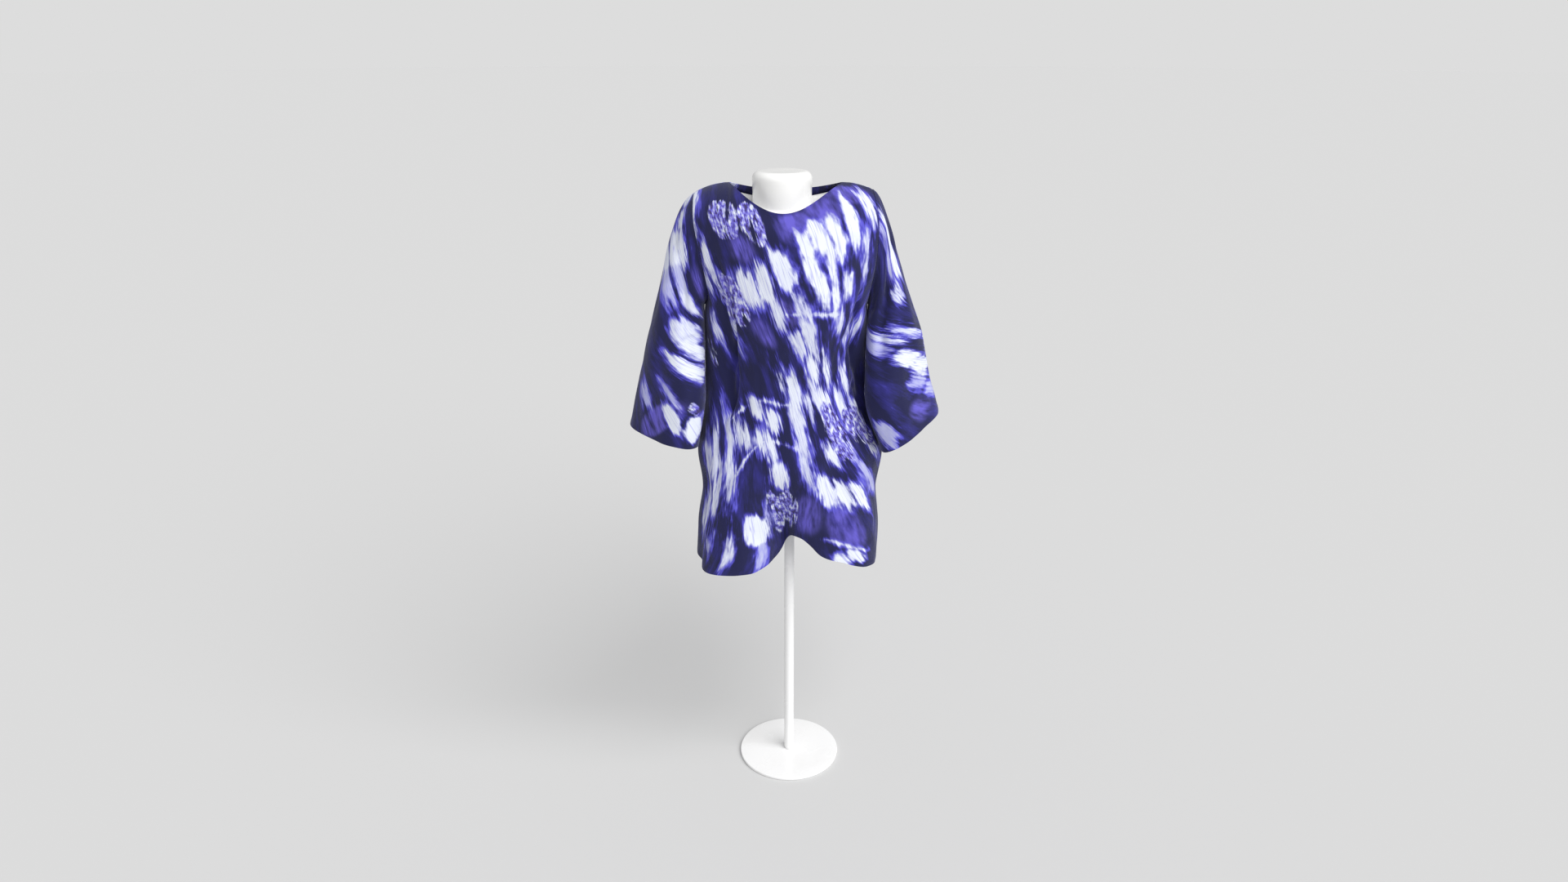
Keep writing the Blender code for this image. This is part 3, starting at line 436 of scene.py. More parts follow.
RIGHT_SLEEVE_ROWS = [
    PatchRow("white", 1, -0.06, 0.41, -0.06, 0.41, 0.15, 0.022),
    PatchRow("lilac", 2, -0.10, 0.43, -0.09, 0.38, 0.08, 0.018),
    PatchRow("grey", 1, -0.07, 0.31, -0.07, 0.31, 0.06, 0.026),
    PatchRow("lilac", 1, -0.17, 0.25, -0.17, 0.25, 0.09, 0.026),
    PatchRow("grey", 2, -0.12, 0.23, -0.08, 0.22, 0.10, 0.013),
    PatchRow("white", 1, -0.10, 0.17, -0.10, 0.17, 0.09, 0.032),
    PatchRow("white", 1, -0.05, 0.13, -0.05, 0.13, 0.09, 0.028),
    PatchRow("lilac", 2, -0.09, 0.11, -0.03, 0.06, 0.06, 0.020),
    PatchRow("lilac", 1, -0.19, 0.04, -0.19, 0.04, 0.06, 0.030),
    PatchRow("violet", 2, -0.09, 0.07, -0.08, 0.34, 0.06, 0.038),
]
# Tones of the pale patches. Grey is partly painted shade: in the charted rows it copies pale patches
# lying in shade. In the scattered patches it is a plain tone.
TONES = {"white": 1.0, "grey": 0.86, "lilac": 0.62}
FAR_FROM_PATCHES = -0.019  # metres
SPREAD = 1.12  # the patches' width is this much over the rows', to make up for the noise on it

# How the patches of a row differ: along the row in steps, up or down in metres, and in size
ROW_MOVE = 0.2
ROW_RISE = 0.006
ROW_SIZES = (0.8, 1.2)

# How a patch fades, in metres of depth
OVAL_POWER = 2.6  # points the patch's ends
TONE_BLEND = 0.003  # neighbouring tones mix over this, and no depth beyond the reach counts
TONE_REACH = 0.05
VIOLET_FADE = 0.024
VIOLET_OVER = 0.4  # share of the fade that lies outside the patch
CRACKLE_FADE = 0.014
CRACKLE_OVER = 0.5
FAR_WEIGHT = 1e-6  # holds the tone at 0.8 where no patch is near
FAR_TONE = 0.8e-6

# Patches for the sides that the photograph doesn't show, made up: steps that fill a rectangle of
# cloth evenly, the shares of each tone, and the ranges of their sizes
Scatter = namedtuple("Scatter", "seed count left right low high")
BACK_SCATTER = Scatter(21, 130, -0.34, 0.34, 0.58, 1.46)
LEFT_SCATTER = Scatter(22, 34, 0.01, 0.26, 0.02, 0.50)
RIGHT_SCATTER = Scatter(23, 34, 0.01, 0.26, 0.02, 0.50)
EVEN_STEPS = (0.7548777, 0.5698403)
SCATTER_TONES = {"white": 0.38, "grey": 0.26, "lilac": 0.12, "violet": 0.14, "crackle": 0.10}
SCATTER_LENGTHS = (0.05, 0.12)
SCATTER_WIDTHS = (0.014, 0.036)
SCATTER_WIDER = {"violet": 2.0, "crackle": 1.3}
BACK_NECK_SHADE_HALF = 0.14  # partly painted shade: the middle of the back keeps no pale patches above the next height, so it stays plain dark navy where the inside of the back neckline lies in shade
BACK_NECK_SHADE_LOW = 1.36

# Thin pale lines that a tie left on the front: two ends, from the same chart rounded, and how far
# the middle rises above them
TieLine = namedtuple("TieLine", "across0 up0 across1 up1 rise")
TIE_LINES = [
    TieLine(-0.02, 1.20, 0.11, 1.18, -0.010),
    TieLine(-0.14, 0.93, 0.02, 0.98, 0.030),
    TieLine(-0.12, 0.81, 0.03, 0.87, 0.060),
    TieLine(0.11, 0.66, 0.22, 0.62, 0.003),
]
TIE_WIDTH = 0.0030
TIE_FALL = 1.2  # how fast a tie line fades, over the distance from it

Patch = namedtuple("Patch", "tone across up length width")
Plan = namedtuple("Plan", "turned side along table")

# Each piece's streaks: the lean by which its plan is turned, and the level where the plan starts
Streaks = namedtuple("Streaks", "leans base level lines")
FRONT_STREAKS = Streaks(FRONT_LEANS, 0, 1.0, TIE_LINES)
BACK_STREAKS = Streaks(BACK_LEANS, 0, 1.0, [])
LEFT_SLEEVE_STREAKS = Streaks(LEFT_SLEEVE_LEANS, -45, 0.25, [])
RIGHT_SLEEVE_STREAKS = Streaks(RIGHT_SLEEVE_LEANS, 35, 0.25, [])

# Seeds of the ripples and of the charted patches
RIPPLE_SEEDS = {"front": 11, "back": 12, "left": 13, "right": 14}
ROW_SEEDS = {"front": 31, "left": 32, "right": 33}

# The dress form, from its underside up over the shoulders to the neck, as in the solids
FormSection = namedtuple("FormSection", "name left right side_z front front_z back back_z bow")
FORM_SECTIONS = [
    FormSection("underside", -0.146, 0.144, 0.784, -0.086, 0.784, 0.096, 0.784, 0.48),
    FormSection("rim", -0.156, 0.154, 0.789, -0.095, 0.789, 0.105, 0.789, 0.48),
    FormSection("rim_side", -0.161, 0.159, 0.800, -0.099, 0.800, 0.109, 0.800, 0.48),
    FormSection("hip", -0.166, 0.162, 0.860, -0.103, 0.860, 0.113, 0.860, 0.48),
    FormSection("high_hip", -0.154, 0.146, 0.940, -0.098, 0.940, 0.097, 0.940, 0.48),
    FormSection("waist", -0.130, 0.116, 1.030, -0.088, 1.030, 0.076, 1.030, 0.49),
    FormSection("ribs", -0.135, 0.119, 1.110, -0.098, 1.110, 0.078, 1.110, 0.49),
    FormSection("under_bust", -0.142, 0.126, 1.160, -0.110, 1.160, 0.083, 1.160, 0.50),
    FormSection("bust", -0.150, 0.134, 1.205, -0.118, 1.205, 0.089, 1.205, 0.50),
    FormSection("above_bust", -0.156, 0.140, 1.250, -0.113, 1.250, 0.093, 1.250, 0.52),
    FormSection("chest", -0.163, 0.145, 1.300, -0.102, 1.300, 0.093, 1.300, 0.56),
    FormSection("arm_top", -0.173, 0.147, 1.350, -0.092, 1.335, 0.086, 1.343, 0.60),
    FormSection("shoulder_side", -0.178, 0.150, 1.391, -0.085, 1.352, 0.079, 1.364, 0.62),
    FormSection("shoulder_edge", -0.174, 0.146, 1.410, -0.080, 1.360, 0.073, 1.373, 0.62),
    FormSection("shoulder", -0.162, 0.134, 1.4165, -0.076, 1.366, 0.068, 1.380, 0.60),
    FormSection("shoulder_mid", -0.138, 0.108, 1.405, -0.072, 1.371, 0.064, 1.380, 0.56),
    FormSection("neck_slope", -0.105, 0.074, 1.384, -0.067, 1.373, 0.0625, 1.374, 0.52),
    FormSection("neck_root", -0.081, 0.048, 1.376, -0.064, 1.376, 0.0623, 1.373, 0.50),
    FormSection("neck_low", -0.080, 0.047, 1.383, -0.0635, 1.383, 0.0622, 1.380, 0.50),
    FormSection("neck", -0.080, 0.047, 1.431, -0.0635, 1.431, 0.0635, 1.431, 0.50),
]
FORM_GRID = (170, 144)
FORM_INSET = 0.0006  # keeps its smooth skin inside the solid's facets, clear of the cloth
NECK_X = -0.0165
NECK_RADIUS = 0.0635
NECK_TOP = 1.447
NECK_EDGE_RINGS = 10
NECK_TOP_RADII = (0.044, 0.030, 0.012)

# The stand
BASE_RADIUS = 0.123
BASE_HEIGHT = 0.007
BASE_EDGE = 0.002
POLE_RADIUS = 0.0118
POLE_LOW = 0.0073
POLE_HIGH = 0.8497
SOCKET_RADIUS = 0.0121
SOCKET_TOP = 0.850
STAND_SIDES = 160
POLE_EDGE = 0.0006
POLE_PLAIN = 0.01  # length at each end of the pole with no ring
POLE_RINGS = 40
BASE_EDGE_STEPS = 7
BASE_UNDER_RADII = (0.03, 0.08)
BASE_TOP_RADII = (0.09, 0.05, 0.02)

# Colours, as linear values
NAVY = (0.0125, 0.0135, 0.066, 1.0)
INDIGO = (0.0300, 0.0270, 0.215, 1.0)
ROYAL = (0.1050, 0.0950, 0.620, 1.0)
HAZE = (0.260, 0.250, 0.740, 1.0)
PALE_LILAC = (0.480, 0.500, 0.770, 1.0)
UNDYED = (0.800, 0.840, 0.950, 1.0)
VIOLET = (0.135, 0.112, 0.590, 1.0)
DUSK = (0.055, 0.040, 0.150, 1.0)
SHELL_WHITE = (0.95, 0.95, 0.94, 1.0)
STAND_WHITE = (0.93, 0.93, 0.93, 1.0)
HANDLED = (0.62, 0.60, 0.56, 1.0)
SPECKED = (0.40, 0.39, 0.37, 1.0)

# The dye's colours over the ground's, the patches' and the mottled places' own scales
DARK_STOPS = [(0.0, NAVY), (0.36, INDIGO), (0.86, ROYAL)]
PALE_STOPS = [(0.35, HAZE), (0.66, PALE_LILAC), (0.96, UNDYED)]
MOTTLED_STOPS = [(0.35, DUSK), (0.45, VIOLET), (0.52, HAZE), (0.60, PALE_LILAC), (0.70, UNDYED)]

# The dye's noises: cycles per metre across and along the streaks, and detail
DYE_NOISE = {
    "broad": ((38.0, 8.0, 1.0), 2.0),
    "middle": ((110.0, 14.0, 1.0), 2.0),
    "fine": ((340.0, 44.0, 1.0), 2.0),
    "blots": ((140.0, 66.0, 1.0), 2.0),
    "hair": ((250.0, 4.0, 1.0), 1.0),
}
# What each noise adds to a patch's depth, in metres, and to the scales of the colours
FEATHER = {"broad": 0.022, "middle": 0.030, "fine": 0.014, "hair": 0.012}
GROUND_NOISE = {"fine": 0.5, "broad": 1.5}
CLOUD_NOISE = {"fine": 1.2, "middle": 2.6}
TONE_NOISE = {"fine": 0.35}
VEIN_NOISE = {"broad": 0.3}
BLOT_NOISE = {"fine": 0.5}
MOTTLED_NOISE = {"fine": 1.5, "broad": 3.5, "middle": 2.5}
GROUND_START = 0.05
CLOUD_START = 0.62
BLOT_START = 0.5
MOTTLED_START = 0.85
# Ranges that are carried into others: two ends of the first, then two of the second if not 0 to 1
RIM_RANGE = (-0.0110, -0.0015, 0.0, 0.70)
PALE_EDGE = (-0.0032, 0.0046)
PALE_RISE = (0.0, 0.010, -0.16, 0.02)
VEIN_RANGE = (0.0, 0.030, 0.50, 0.0)
MOTTLED_EDGE = (0.28, 0.62)

# The cloth's weave and nap
THREADS = 1250.0  # per metre
SLUB = (900.0, 120.0, 1.0)  # cycles per metre of the threads' own unevenness
SLUB_SHARE = 1.4
CRUMPLE = (55.0, 26.0, 1.0)
CRUMPLE_SHARE = 9.0
CLOTH_BUMP = {"Strength": 0.55, "Distance": 0.00022}
CLOTH_ROUGHNESS = (0.78, 0.12)  # at its least, and what the threads' unevenness adds
CLOTH_FINISH = {
    "Sheen Weight": 0.22,
    "Sheen Roughness": 0.45,
    "Sheen Tint": (0.80, 0.82, 1.0, 1.0),
    "Specular IOR Level": 0.25,
}

# Faint wear on the form and the stand: noises in cycles per metre, and the ranges that show
WEAR_CLOUDS = (9.0, 9.0, 6.0)
WEAR_CLOUD_RANGE = (-0.05, 0.22)
WEAR_SPECKS = (260.0, 260.0, 260.0)
WEAR_SPECK_RANGE = (0.16, 0.26)
WEAR_SHARE = 0.10
WEAR_ROUGHNESS = 0.12
PEEL = (150.0, 150.0, 150.0)
PEEL_STRENGTH = 0.25
Gloss = namedtuple("Gloss", "colour roughness peel coat")
FORM_GLOSS = Gloss(SHELL_WHITE, 0.20, 0.0002, {"Coat Weight": 0.3, "Coat Roughness": 0.15})
STAND_GLOSS = Gloss(STAND_WHITE, 0.26, 0.0001, {"Coat Weight": 0.5, "Coat Roughness": 0.1})

# Camera, light and floor
CAMERA_PLACE = (-0.0126, -2.26393, 1.71464)
CAMERA_TILT = 69.0  # degrees up from straight down
CAMERA_LENS = 24.44
CAMERA_SENSOR = 36.0
CAMERA_END = 200.0
BACKDROP = (0.723, 0.723, 0.723, 1.0)
FILL = 0.66  # how much of the backdrop's light falls on the part
KEY_SUN = {"strength": 2.9, "spread": 55.0, "tilt": 46.0, "turn": 44.0}
FLOOR_RADII = (60.0, 4.0, 1.0, 0.2)
FLOOR_SIDES = 96
FLOOR_Z = -0.0004
FLOOR_TONES = ((0.636, 0.636, 0.636, 1.0), (0.650, 0.650, 0.650, 1.0))
FLOOR_CLOUD = (1.5, 1.5, 1.5)
FLOOR_CLOUD_SHARE = 0.02
FLOOR_FINISH = {"Roughness": 0.9, "Specular IOR Level": 0.0}


def smooth_step(x):
    """Rises from 0 at x = 0 to 1 at x = 1 as 3x^2 - 2x^3, level at both ends."""
    x = np.clip(x, 0.0, 1.0)
    return x * x * (3.0 - 2.0 * x)


def smooth_curve(knots, values, at):
    """A curve through values at knots, cubic between them, with the slopes of np.gradient."""
    knots, values = np.asarray(knots, float), np.asarray(values, float)
    slopes = np.gradient(values, knots, axis=0)
    span = np.clip(np.searchsorted(knots, at, side="right") - 1, 0, len(knots) - 2)
    length = knots[span + 1] - knots[span]
    t = (at - knots[span]) / length
    extra = (slice(None),) * np.ndim(at) + (None,) * (values.ndim - 1)
    t, length = t[extra], length[extra]
    return (
        values[span] * (2 * t**3 - 3 * t**2 + 1)
        + slopes[span] * length * (t**3 - 2 * t**2 + t)
        + values[span + 1] * (3 * t**2 - 2 * t**3)
        + slopes[span + 1] * length * (t**3 - t**2)
    )


def through(rows, column, at):
    """smooth_curve through one column of a table of sections."""
    return smooth_curve([row.at for row in rows], [getattr(row, column) for row in rows], at)


def bridge(start, start_way, end, end_way, t):
    """A cubic from start to end that leaves and arrives along the two given ways."""
    t = t[..., None]
    return (
        start * (2 * t**3 - 3 * t**2 + 1)
        + start_way * (t**3 - 2 * t**2 + t)
        + end * (3 * t**2 - 2 * t**3)
        + end_way * (t**3 - t**2)
    )


def unit(ways):
    """The same directions at length 1."""
    return ways / np.linalg.norm(ways, axis=-1, keepdims=True)


def body_section_point(face, theta, at):
    """The body below the chest line: x runs as the sine of theta between the sides, y as the
    cosine of theta to the power of twice the bow, and z between the side's height and the
    middle's. face is -1 on the front and 1 on the back."""
    name = "front" if face < 0 else "back"
    left, right = through(BODY_SECTIONS, "left", at), through(BODY_SECTIONS, "right", at)
    side_z = through(BODY_SECTIONS, "side_z", at)
    middle = through(BODY_SECTIONS, name, at)
    middle_z = through(BODY_SECTIONS, name + "_z", at)
    bow = through(BODY_SECTIONS, "bow_" + name, at)
    stand = np.where(at > UNDERARM_AT, np.maximum(through(BODY_SECTIONS, "armhole", at), 0.0), 0.0)
    edge = face * stand
    across = np.clip(np.cos(theta), 0.0, 1.0)
    x = (left + right) / 2 + np.sin(theta) * (right - left) / 2
    y = edge + (middle - edge) * across ** (2 * bow)
    z = side_z + (middle_z - side_z) * across**2
    if face < 0:
        hem = BODY_SECTIONS[0]
        level_hem = hem.side_z + (hem.front_z - hem.side_z) * across**2
        z = z + (through(FRONT_HEM, "height", x) - level_hem) * smooth_step(1 - at / HEM_REACH)
    return np.stack([x, y, z], axis=-1)


def top_edge_point(face, theta):
    """The top edge: the shoulder seam at the sides and the neckline's curve between."""
    across = np.sin(theta)
    neck_share = np.where(across < 0, NECK_SHARE_LEFT, NECK_SHARE_RIGHT)
    share = np.abs(across) / neck_share
    inside = np.clip(1 - share**2, 0.0, 1.0)
    reach = NECKLINE_FRONT_Y if face < 0 else NECKLINE_BACK_Y
    low_z = NECKLINE_FRONT_Z if face < 0 else NECKLINE_BACK_Z
    dip = np.where(across < 0, DIP_LEFT, DIP_RIGHT) if face < 0 else DIP_BACK
    neckline_z = NECK_POINT_Z + (low_z - NECK_POINT_Z) * inside**dip
    along_seam = np.clip((share - 1) / (1 / neck_share - 1), 0.0, 1.0)
    tip_z = np.where(across < 0, TIP_LEFT_Z, TIP_RIGHT_Z)
    seam_z = NECK_POINT_Z + (tip_z - NECK_POINT_Z) * along_seam**SHOULDER_ARCH
    x = TOP_MIDDLE + across * TOP_HALF
    y = reach * inside**NECKLINE_BOW
    return np.stack([x, y, np.where(share < 1, neckline_z, seam_z)], axis=-1)


def smooth_body_point(face, theta, at):
    """The body before folds: sections up to the chest line (at 1), then a cubic that bends back
    over the shoulder to the top edge (at 2)."""
    theta, at = np.broadcast_arrays(np.asarray(theta, float), np.asarray(at, float))
    below = body_section_point(face, theta, np.minimum(at, 1.0))
    chest = body_section_point(face, theta, np.ones_like(at))
    rise = unit(chest - body_section_point(face, theta, np.full_like(at, BELOW_CHEST)))
    top = top_edge_point(face, theta)
    reach = YOKE_REACH * np.linalg.norm(top - chest, axis=-1, keepdims=True)
    on_seam = smooth_step((np.abs(np.sin(theta)) - SHOULDER_FROM) / SHOULDER_SPAN)[..., None]
    over_shoulder = np.array([0.0, -face * OVER_SHOULDER[0], OVER_SHOULDER[1]])
    up_to_neck = np.array([0.0, -face * UP_TO_NECK[0], UP_TO_NECK[1]])
    arrive = over_shoulder * on_seam + up_to_neck * (1 - on_seam)
    yoke = bridge(chest, rise * reach, top, arrive * reach, np.clip(at - 1, 0.0, 1.0))
    return np.where((at > 1.0)[..., None], yoke, below)


def fold_depth(folds, angle, height):
    """The sum of the folds: each is a bell curve of the angle off its middle line, which is a
    parabola through three angles, and it fades in and out along the height."""
    total = np.zeros(np.broadcast(angle, height).shape)
    for fold in folds:
        share = np.clip((fold.top - height) / (fold.top - fold.full_bottom), 0.0, 1.0)
        middle = (
            fold.angle_top * (1 - share) * (1 - 2 * share)
            + fold.angle_mid * 4 * share * (1 - share)
            + fold.angle_bottom * share * (2 * share - 1)
        )
        off = (angle - middle + 180.0) % 360.0 - 180.0
        rising = smooth_step((fold.top - height) / (fold.top - fold.full_top))
        falling = smooth_step((height - fold.bottom) / (fold.full_bottom - fold.bottom))
        total = total + fold.depth * rising * falling * np.exp(-((off / fold.width) ** 2))
    return total


def body_point(face, theta, at):
    """The body with its large folds, which move the cloth level and away from the middle."""
    smooth = smooth_body_point(face, theta, at)
    angle = np.degrees(np.broadcast_to(theta, smooth.shape[:-1]))
    angle = angle if face < 0 else 180.0 - angle
    out = np.stack([np.sin(np.radians(angle)), -np.cos(np.radians(angle)), 0 * angle], axis=-1)
    return smooth + out * fold_depth(BODY_FOLDS, angle, smooth[..., 2])[..., None]


def body_normal(face, theta, at):
    """The body's outward normal, from the cross product of two small steps along it. On a seam
    between front and back it lies level with the seam, so both pieces share it."""
    whole_theta, whole_at = theta, at
    edge_turn, top_at = NORMAL_EDGES
    theta = np.clip(theta, radians(-edge_turn), radians(edge_turn))
    at = np.clip(at, NORMAL_STEP, top_at)
    step = radians(NORMAL_TURN)
    across = body_point(face, theta + step, at) - body_point(face, theta - step, at)
    above, below = body_point(face, theta, at + NORMAL_STEP), body_point(face, theta, at - NORMAL_STEP)
    upward = above - below
    normal = np.cross(across, upward) * -face
    on_seam = np.abs(body_point(face, whole_theta, whole_at)[..., 1]) < ON_SEAM
    normal[..., 1] = np.where(on_seam, 0.0, normal[..., 1])
    return unit(normal)


def armhole_edge(side, columns):
    """One armhole, from the underarm up the front, over the tip and down the back, at even
    steps along each half: its points, the ways square to it that lead out of the body's cloth,
    and each point's turn round the sleeve."""
    at = np.linspace(UNDERARM_AT, 2.0, ARMHOLE_STEPS)
    theta = np.full_like(at, side * pi / 2)
    even = np.linspace(0.0, 1.0, columns // 2 + 1)
    points, normals = [], []
    for face in (-1, 1):
        run = body_point(face, theta, at)
        length = np.concatenate([[0.0], np.cumsum(np.linalg.norm(np.diff(run, axis=0), axis=1))])
        here = np.interp(even, length / length[-1], at)
        points.append(body_point(face, theta[0] + 0 * here, here))
        normals.append(body_normal(face, theta[0] + 0 * here, here))
    back_down = slice(-2, 0, -1)
    edge = np.concatenate([points[0], points[1][back_down]])
    normal = np.concatenate([normals[0], normals[1][back_down]])
    turn = np.concatenate([pi * even, 2 * pi - pi * even[back_down]])
    square = unit(np.cross(np.roll(edge, -1, axis=0) - np.roll(edge, 1, axis=0), normal))
    return edge, square * side * np.sign(np.mean(square[:, 0])), turn


def sleeve_section_point(rows, turn, at):
    """The sleeve below the upper arm (at 0) down to the cuff (at 1): a ring round the line
    between its inner and outer points, pushed forward and back by the sine of the turn."""
    outer = [through(rows, "outer_x", at), 0 * at, through(rows, "outer_z", at)]
    inner = [through(rows, name, at) for name in ("inner_x", "inner_y", "inner_z")]
    outer, inner = np.stack(outer, axis=-1), np.stack(inner, axis=-1)
    point = (outer + inner) / 2 - (outer - inner) / 2 * np.cos(turn)[..., None]
    ahead = np.sin(turn)
    reach = np.where(ahead > 0, through(rows, "front", at), through(rows, "back", at))
    point[..., 1] += reach * np.abs(ahead) ** (2 * through(rows, "bow", at))
    return point


def sleeve_rings(side, rows, cap):
    """The sleeve before folds: a cubic from the armhole's edge to the upper arm, and sections
    from there to the cuff. Returns the points, the ways out of the body's cloth at the armhole,
    the turn of each column and the share along of each ring."""
    ring_count, columns = SLEEVE_GRID
    edge, square, turn = armhole_edge(side, columns)
    under = (1 + np.cos(turn))[:, None] / 2
    leave = unit(square * (1 - under) + unit(np.array([side, 0.0, DOWNWARD])) * under)
    level = np.zeros_like(turn)
    arm = sleeve_section_point(rows, turn, level)
    down = unit(sleeve_section_point(rows, turn, level + SLEEVE_STEP) - arm)
    reach = np.linalg.norm(arm - edge, axis=-1, keepdims=True)
    shares = np.linspace(0.0, 2.0, ring_count)
    rings = []
    for share in shares:
        if share <= 1.0:
            way_out, way_in = leave * reach * cap, down * reach * ARM_PULL
            rings.append(bridge(edge, way_out, arm, way_in, level + share))
        else:
            rings.append(sleeve_section_point(rows, turn, level + share - 1.0))
    return np.array(rings), square, turn, shares


def ring_normal(rings, outward):
    """Normals of closed rings, from the cross product of the steps round and along them, times
    outward (1 or -1)."""
    along = np.gradient(rings, axis=0)
    around = np.roll(rings, -1, axis=1) - np.roll(rings, 1, axis=1)
    return unit(np.cross(around, along) * outward)


def running_length(points, axis):
    """The length of cloth from the grid's first row or column to each point."""
    steps = np.linalg.norm(np.diff(points, axis=axis), axis=-1)
    total = np.cumsum(steps, axis=axis)
    start = np.zeros_like(np.take(total, [0], axis=axis))
    return np.concatenate([start, total], axis=axis)


def ripples(across, up, seed):
    """A low sum of sine waves of seeded direction, phase and length, longer along the cloth."""
    dice = np.random.default_rng(seed)
    low, high = (0, 0, WAVE_SCALES[0]), (pi, 2 * pi, WAVE_SCALES[1])
    total = 0.0
    for turn, phase, scale in dice.uniform(low, high, (WAVE_COUNT, 3)):
        run = across * cos(turn) + up * sin(turn) / RIPPLE_STRETCH
        total = total + np.sin(2 * pi * run / (RIPPLE_SIZE * scale) + phase)
    return RIPPLE * (total / WAVE_SUM)


def crease_depth(creases, across, up):
    """The sum of the creases: each is a bell curve of the distance from its bowed line, and it
    fades at both ends of the line as 3t^2 - 2t^3."""
    total = np.zeros(np.broadcast(across, up).shape)
    for crease in creases:
        along = np.array([crease.across1 - crease.across0, crease.up1 - crease.up0])
        length = np.hypot(*along)
        along = along / length
        off_across, off_up = across - crease.across0, up - crease.up0
        share = (off_across * along[0] + off_up * along[1]) / length
        bend = CREASE_BEND * length * np.sin(pi * np.clip(share, 0.0, 1.0))
        off = off_across * along[1] - off_up * along[0] - bend * np.sign(crease.depth)
        rising = smooth_step((share + CREASE_OVER) / (2 * CREASE_OVER))
        falling = smooth_step((1 + CREASE_OVER - share) / (2 * CREASE_OVER))
        fade = rising * falling
        total = total + crease.depth * fade * np.exp(-((off / crease.width) ** 2))
    return total


def seam_ditch(distance):
    """A shallow ditch beside a seam: a bell curve of the distance from it."""
    return -SEAM_DITCH * np.exp(-((distance / SEAM_REACH) ** 2))


def turned_edge(distance, width):
    """A turned edge: a low step of one more layer up to the width, with a narrow stitched
    groove just inside it."""
    step = BAND_RISE * smooth_step((width - distance) / BAND_SLOPE)
    groove = np.exp(-(((distance - width + STITCH_INSET) / STITCH_REACH) ** 2))
    return step - STITCH_DEPTH * groove


def body_freedom(height, from_side, from_top):
    """How freely the body's cloth creases, from 0 at its seams to 1: it is held at the sides,
    further in beside the arms, and at the top, and it lies flatter on the form's shoulders."""
    loose = 1.0 - SNUG_SHARE * smooth_step((height - SNUG_FROM) / SNUG_SPAN)
    above_low = smooth_step((height - ARM_LOW) / ARM_FADE)
    by_arm = above_low * smooth_step((ARM_HIGH - height) / ARM_FADE)
    held = FLAT_AT_SIDE + FLAT_AT_ARM * by_arm
    return smooth_step(from_side / held) * smooth_step(from_top / FLAT_AT_TOP) * loose


def body_cloth(face, grid, creases, seed):
    """The outer and inner skins of the front or back, and its measure: metres of cloth across
    from the middle line and up from the hem."""
    rows, columns = grid
    at = np.interp(np.linspace(0, 1, rows), *ROW_SPREAD)
    turn = np.interp(np.linspace(0, 1, columns), *COLUMN_SPREAD)
    theta, at = np.meshgrid(np.radians(turn), at)
    points, normal = body_point(face, theta, at), body_normal(face, theta, at)
    run, rise = running_length(points, 1), running_length(points, 0)
    middle = [np.interp(0.0, x, along) for x, along in zip(points[..., 0], run)]
    across, up = run - np.array(middle)[:, None], rise + points[0, :, 2]
    from_side, from_top = np.minimum(run, run[:, -1:] - run), rise[-1] - rise
    neck_share = np.where(theta < 0, NECK_SHARE_LEFT, NECK_SHARE_RIGHT)
    past_neck = np.abs(np.sin(theta)) / neck_share - NECK_POINT_FROM
    beside_neck = smooth_step(past_neck / NECK_POINT_SPAN)
    lift = crease_depth(creases, across, up) + ripples(across, up, seed)
    lift = lift * body_freedom(points[..., 2], from_side, from_top)
    lift = lift + seam_ditch(from_side) + turned_edge(rise, HEM_BAND)
    lift = lift + seam_ditch(from_top) * beside_neck
    lift = lift + turned_edge(from_top, NECK_BAND) * (1 - beside_neck)
    outer = points + normal * lift[..., None] + np.array([0.0, face * SEAM / 2, 0.0])
    return outer, outer - normal * SHELL, np.stack([across, up], axis=-1)


def sleeve_cloth(side, rows, cap, creases, seed):
    """The outer and inner skins of a sleeve, and its measure: metres of cloth across from its
    outer line and up from the cuff, with one more column where the ring closes."""
    points, square, turn, shares = sleeve_rings(side, rows, cap)
    depth = fold_depth(SLEEVE_FOLDS, np.degrees(turn)[None, :], shares[:, None])
    points = points + ring_normal(points, -side) * depth[..., None]
    normal = ring_normal(points, -side)
    ringed = np.concatenate([points, points[:, :1]], axis=1)
    run, rise = running_length(ringed, 1), running_length(ringed, 0)
    across, up = run - run[:, len(turn) // 2][:, None], rise[-1] - rise
    from_seam = np.minimum(run, run[:, -1:] - run)
    free = smooth_step(rise / FLAT_AT_CAP) * smooth_step(from_seam / FLAT_AT_SLEEVE_SEAM)
    lift = crease_depth(creases, across, up) + ripples(across, up, seed)
    lift = lift * free + seam_ditch(from_seam) * smooth_step(rise / SLEEVE_SEAM_FADE)
    cap_ditch = np.exp(-(((rise - CAP_DITCH_AT) / CAP_DITCH_REACH) ** 2))
    lift = lift + turned_edge(up, HEM_BAND) - SEAM_DITCH * CAP_DITCH * cap_ditch
    points = points + normal * lift[:, :-1, None]
    towards_body = np.clip(np.sum(normal[0] * square, axis=-1, keepdims=True), 0.0, 1.0)
    normal[0] = unit(normal[0] - square * towards_body)
    outer = points + np.array([side * SEAM, 0.0, SEAM * CAP_RISE])
    return outer, outer - normal * SHELL, np.stack([across, up], axis=-1)


def lean_at(rows, across, up):
    """The streaks' lean: through the rows along up, and from the middle column to a side one as
    3t^2 - 2t^3 of the distance from the middle."""
    up = np.clip(up, rows[0].up, rows[-1].up)
    knots = [row.up for row in rows]
    left, middle, right = (
        smooth_curve(knots, [getattr(row, name) for row in rows], up)
        for name in ("left", "middle", "right")
    )
    side = np.where(across < 0, left, right)
    return middle + (side - middle) * smooth_step(np.abs(across) / LEAN_SPAN)


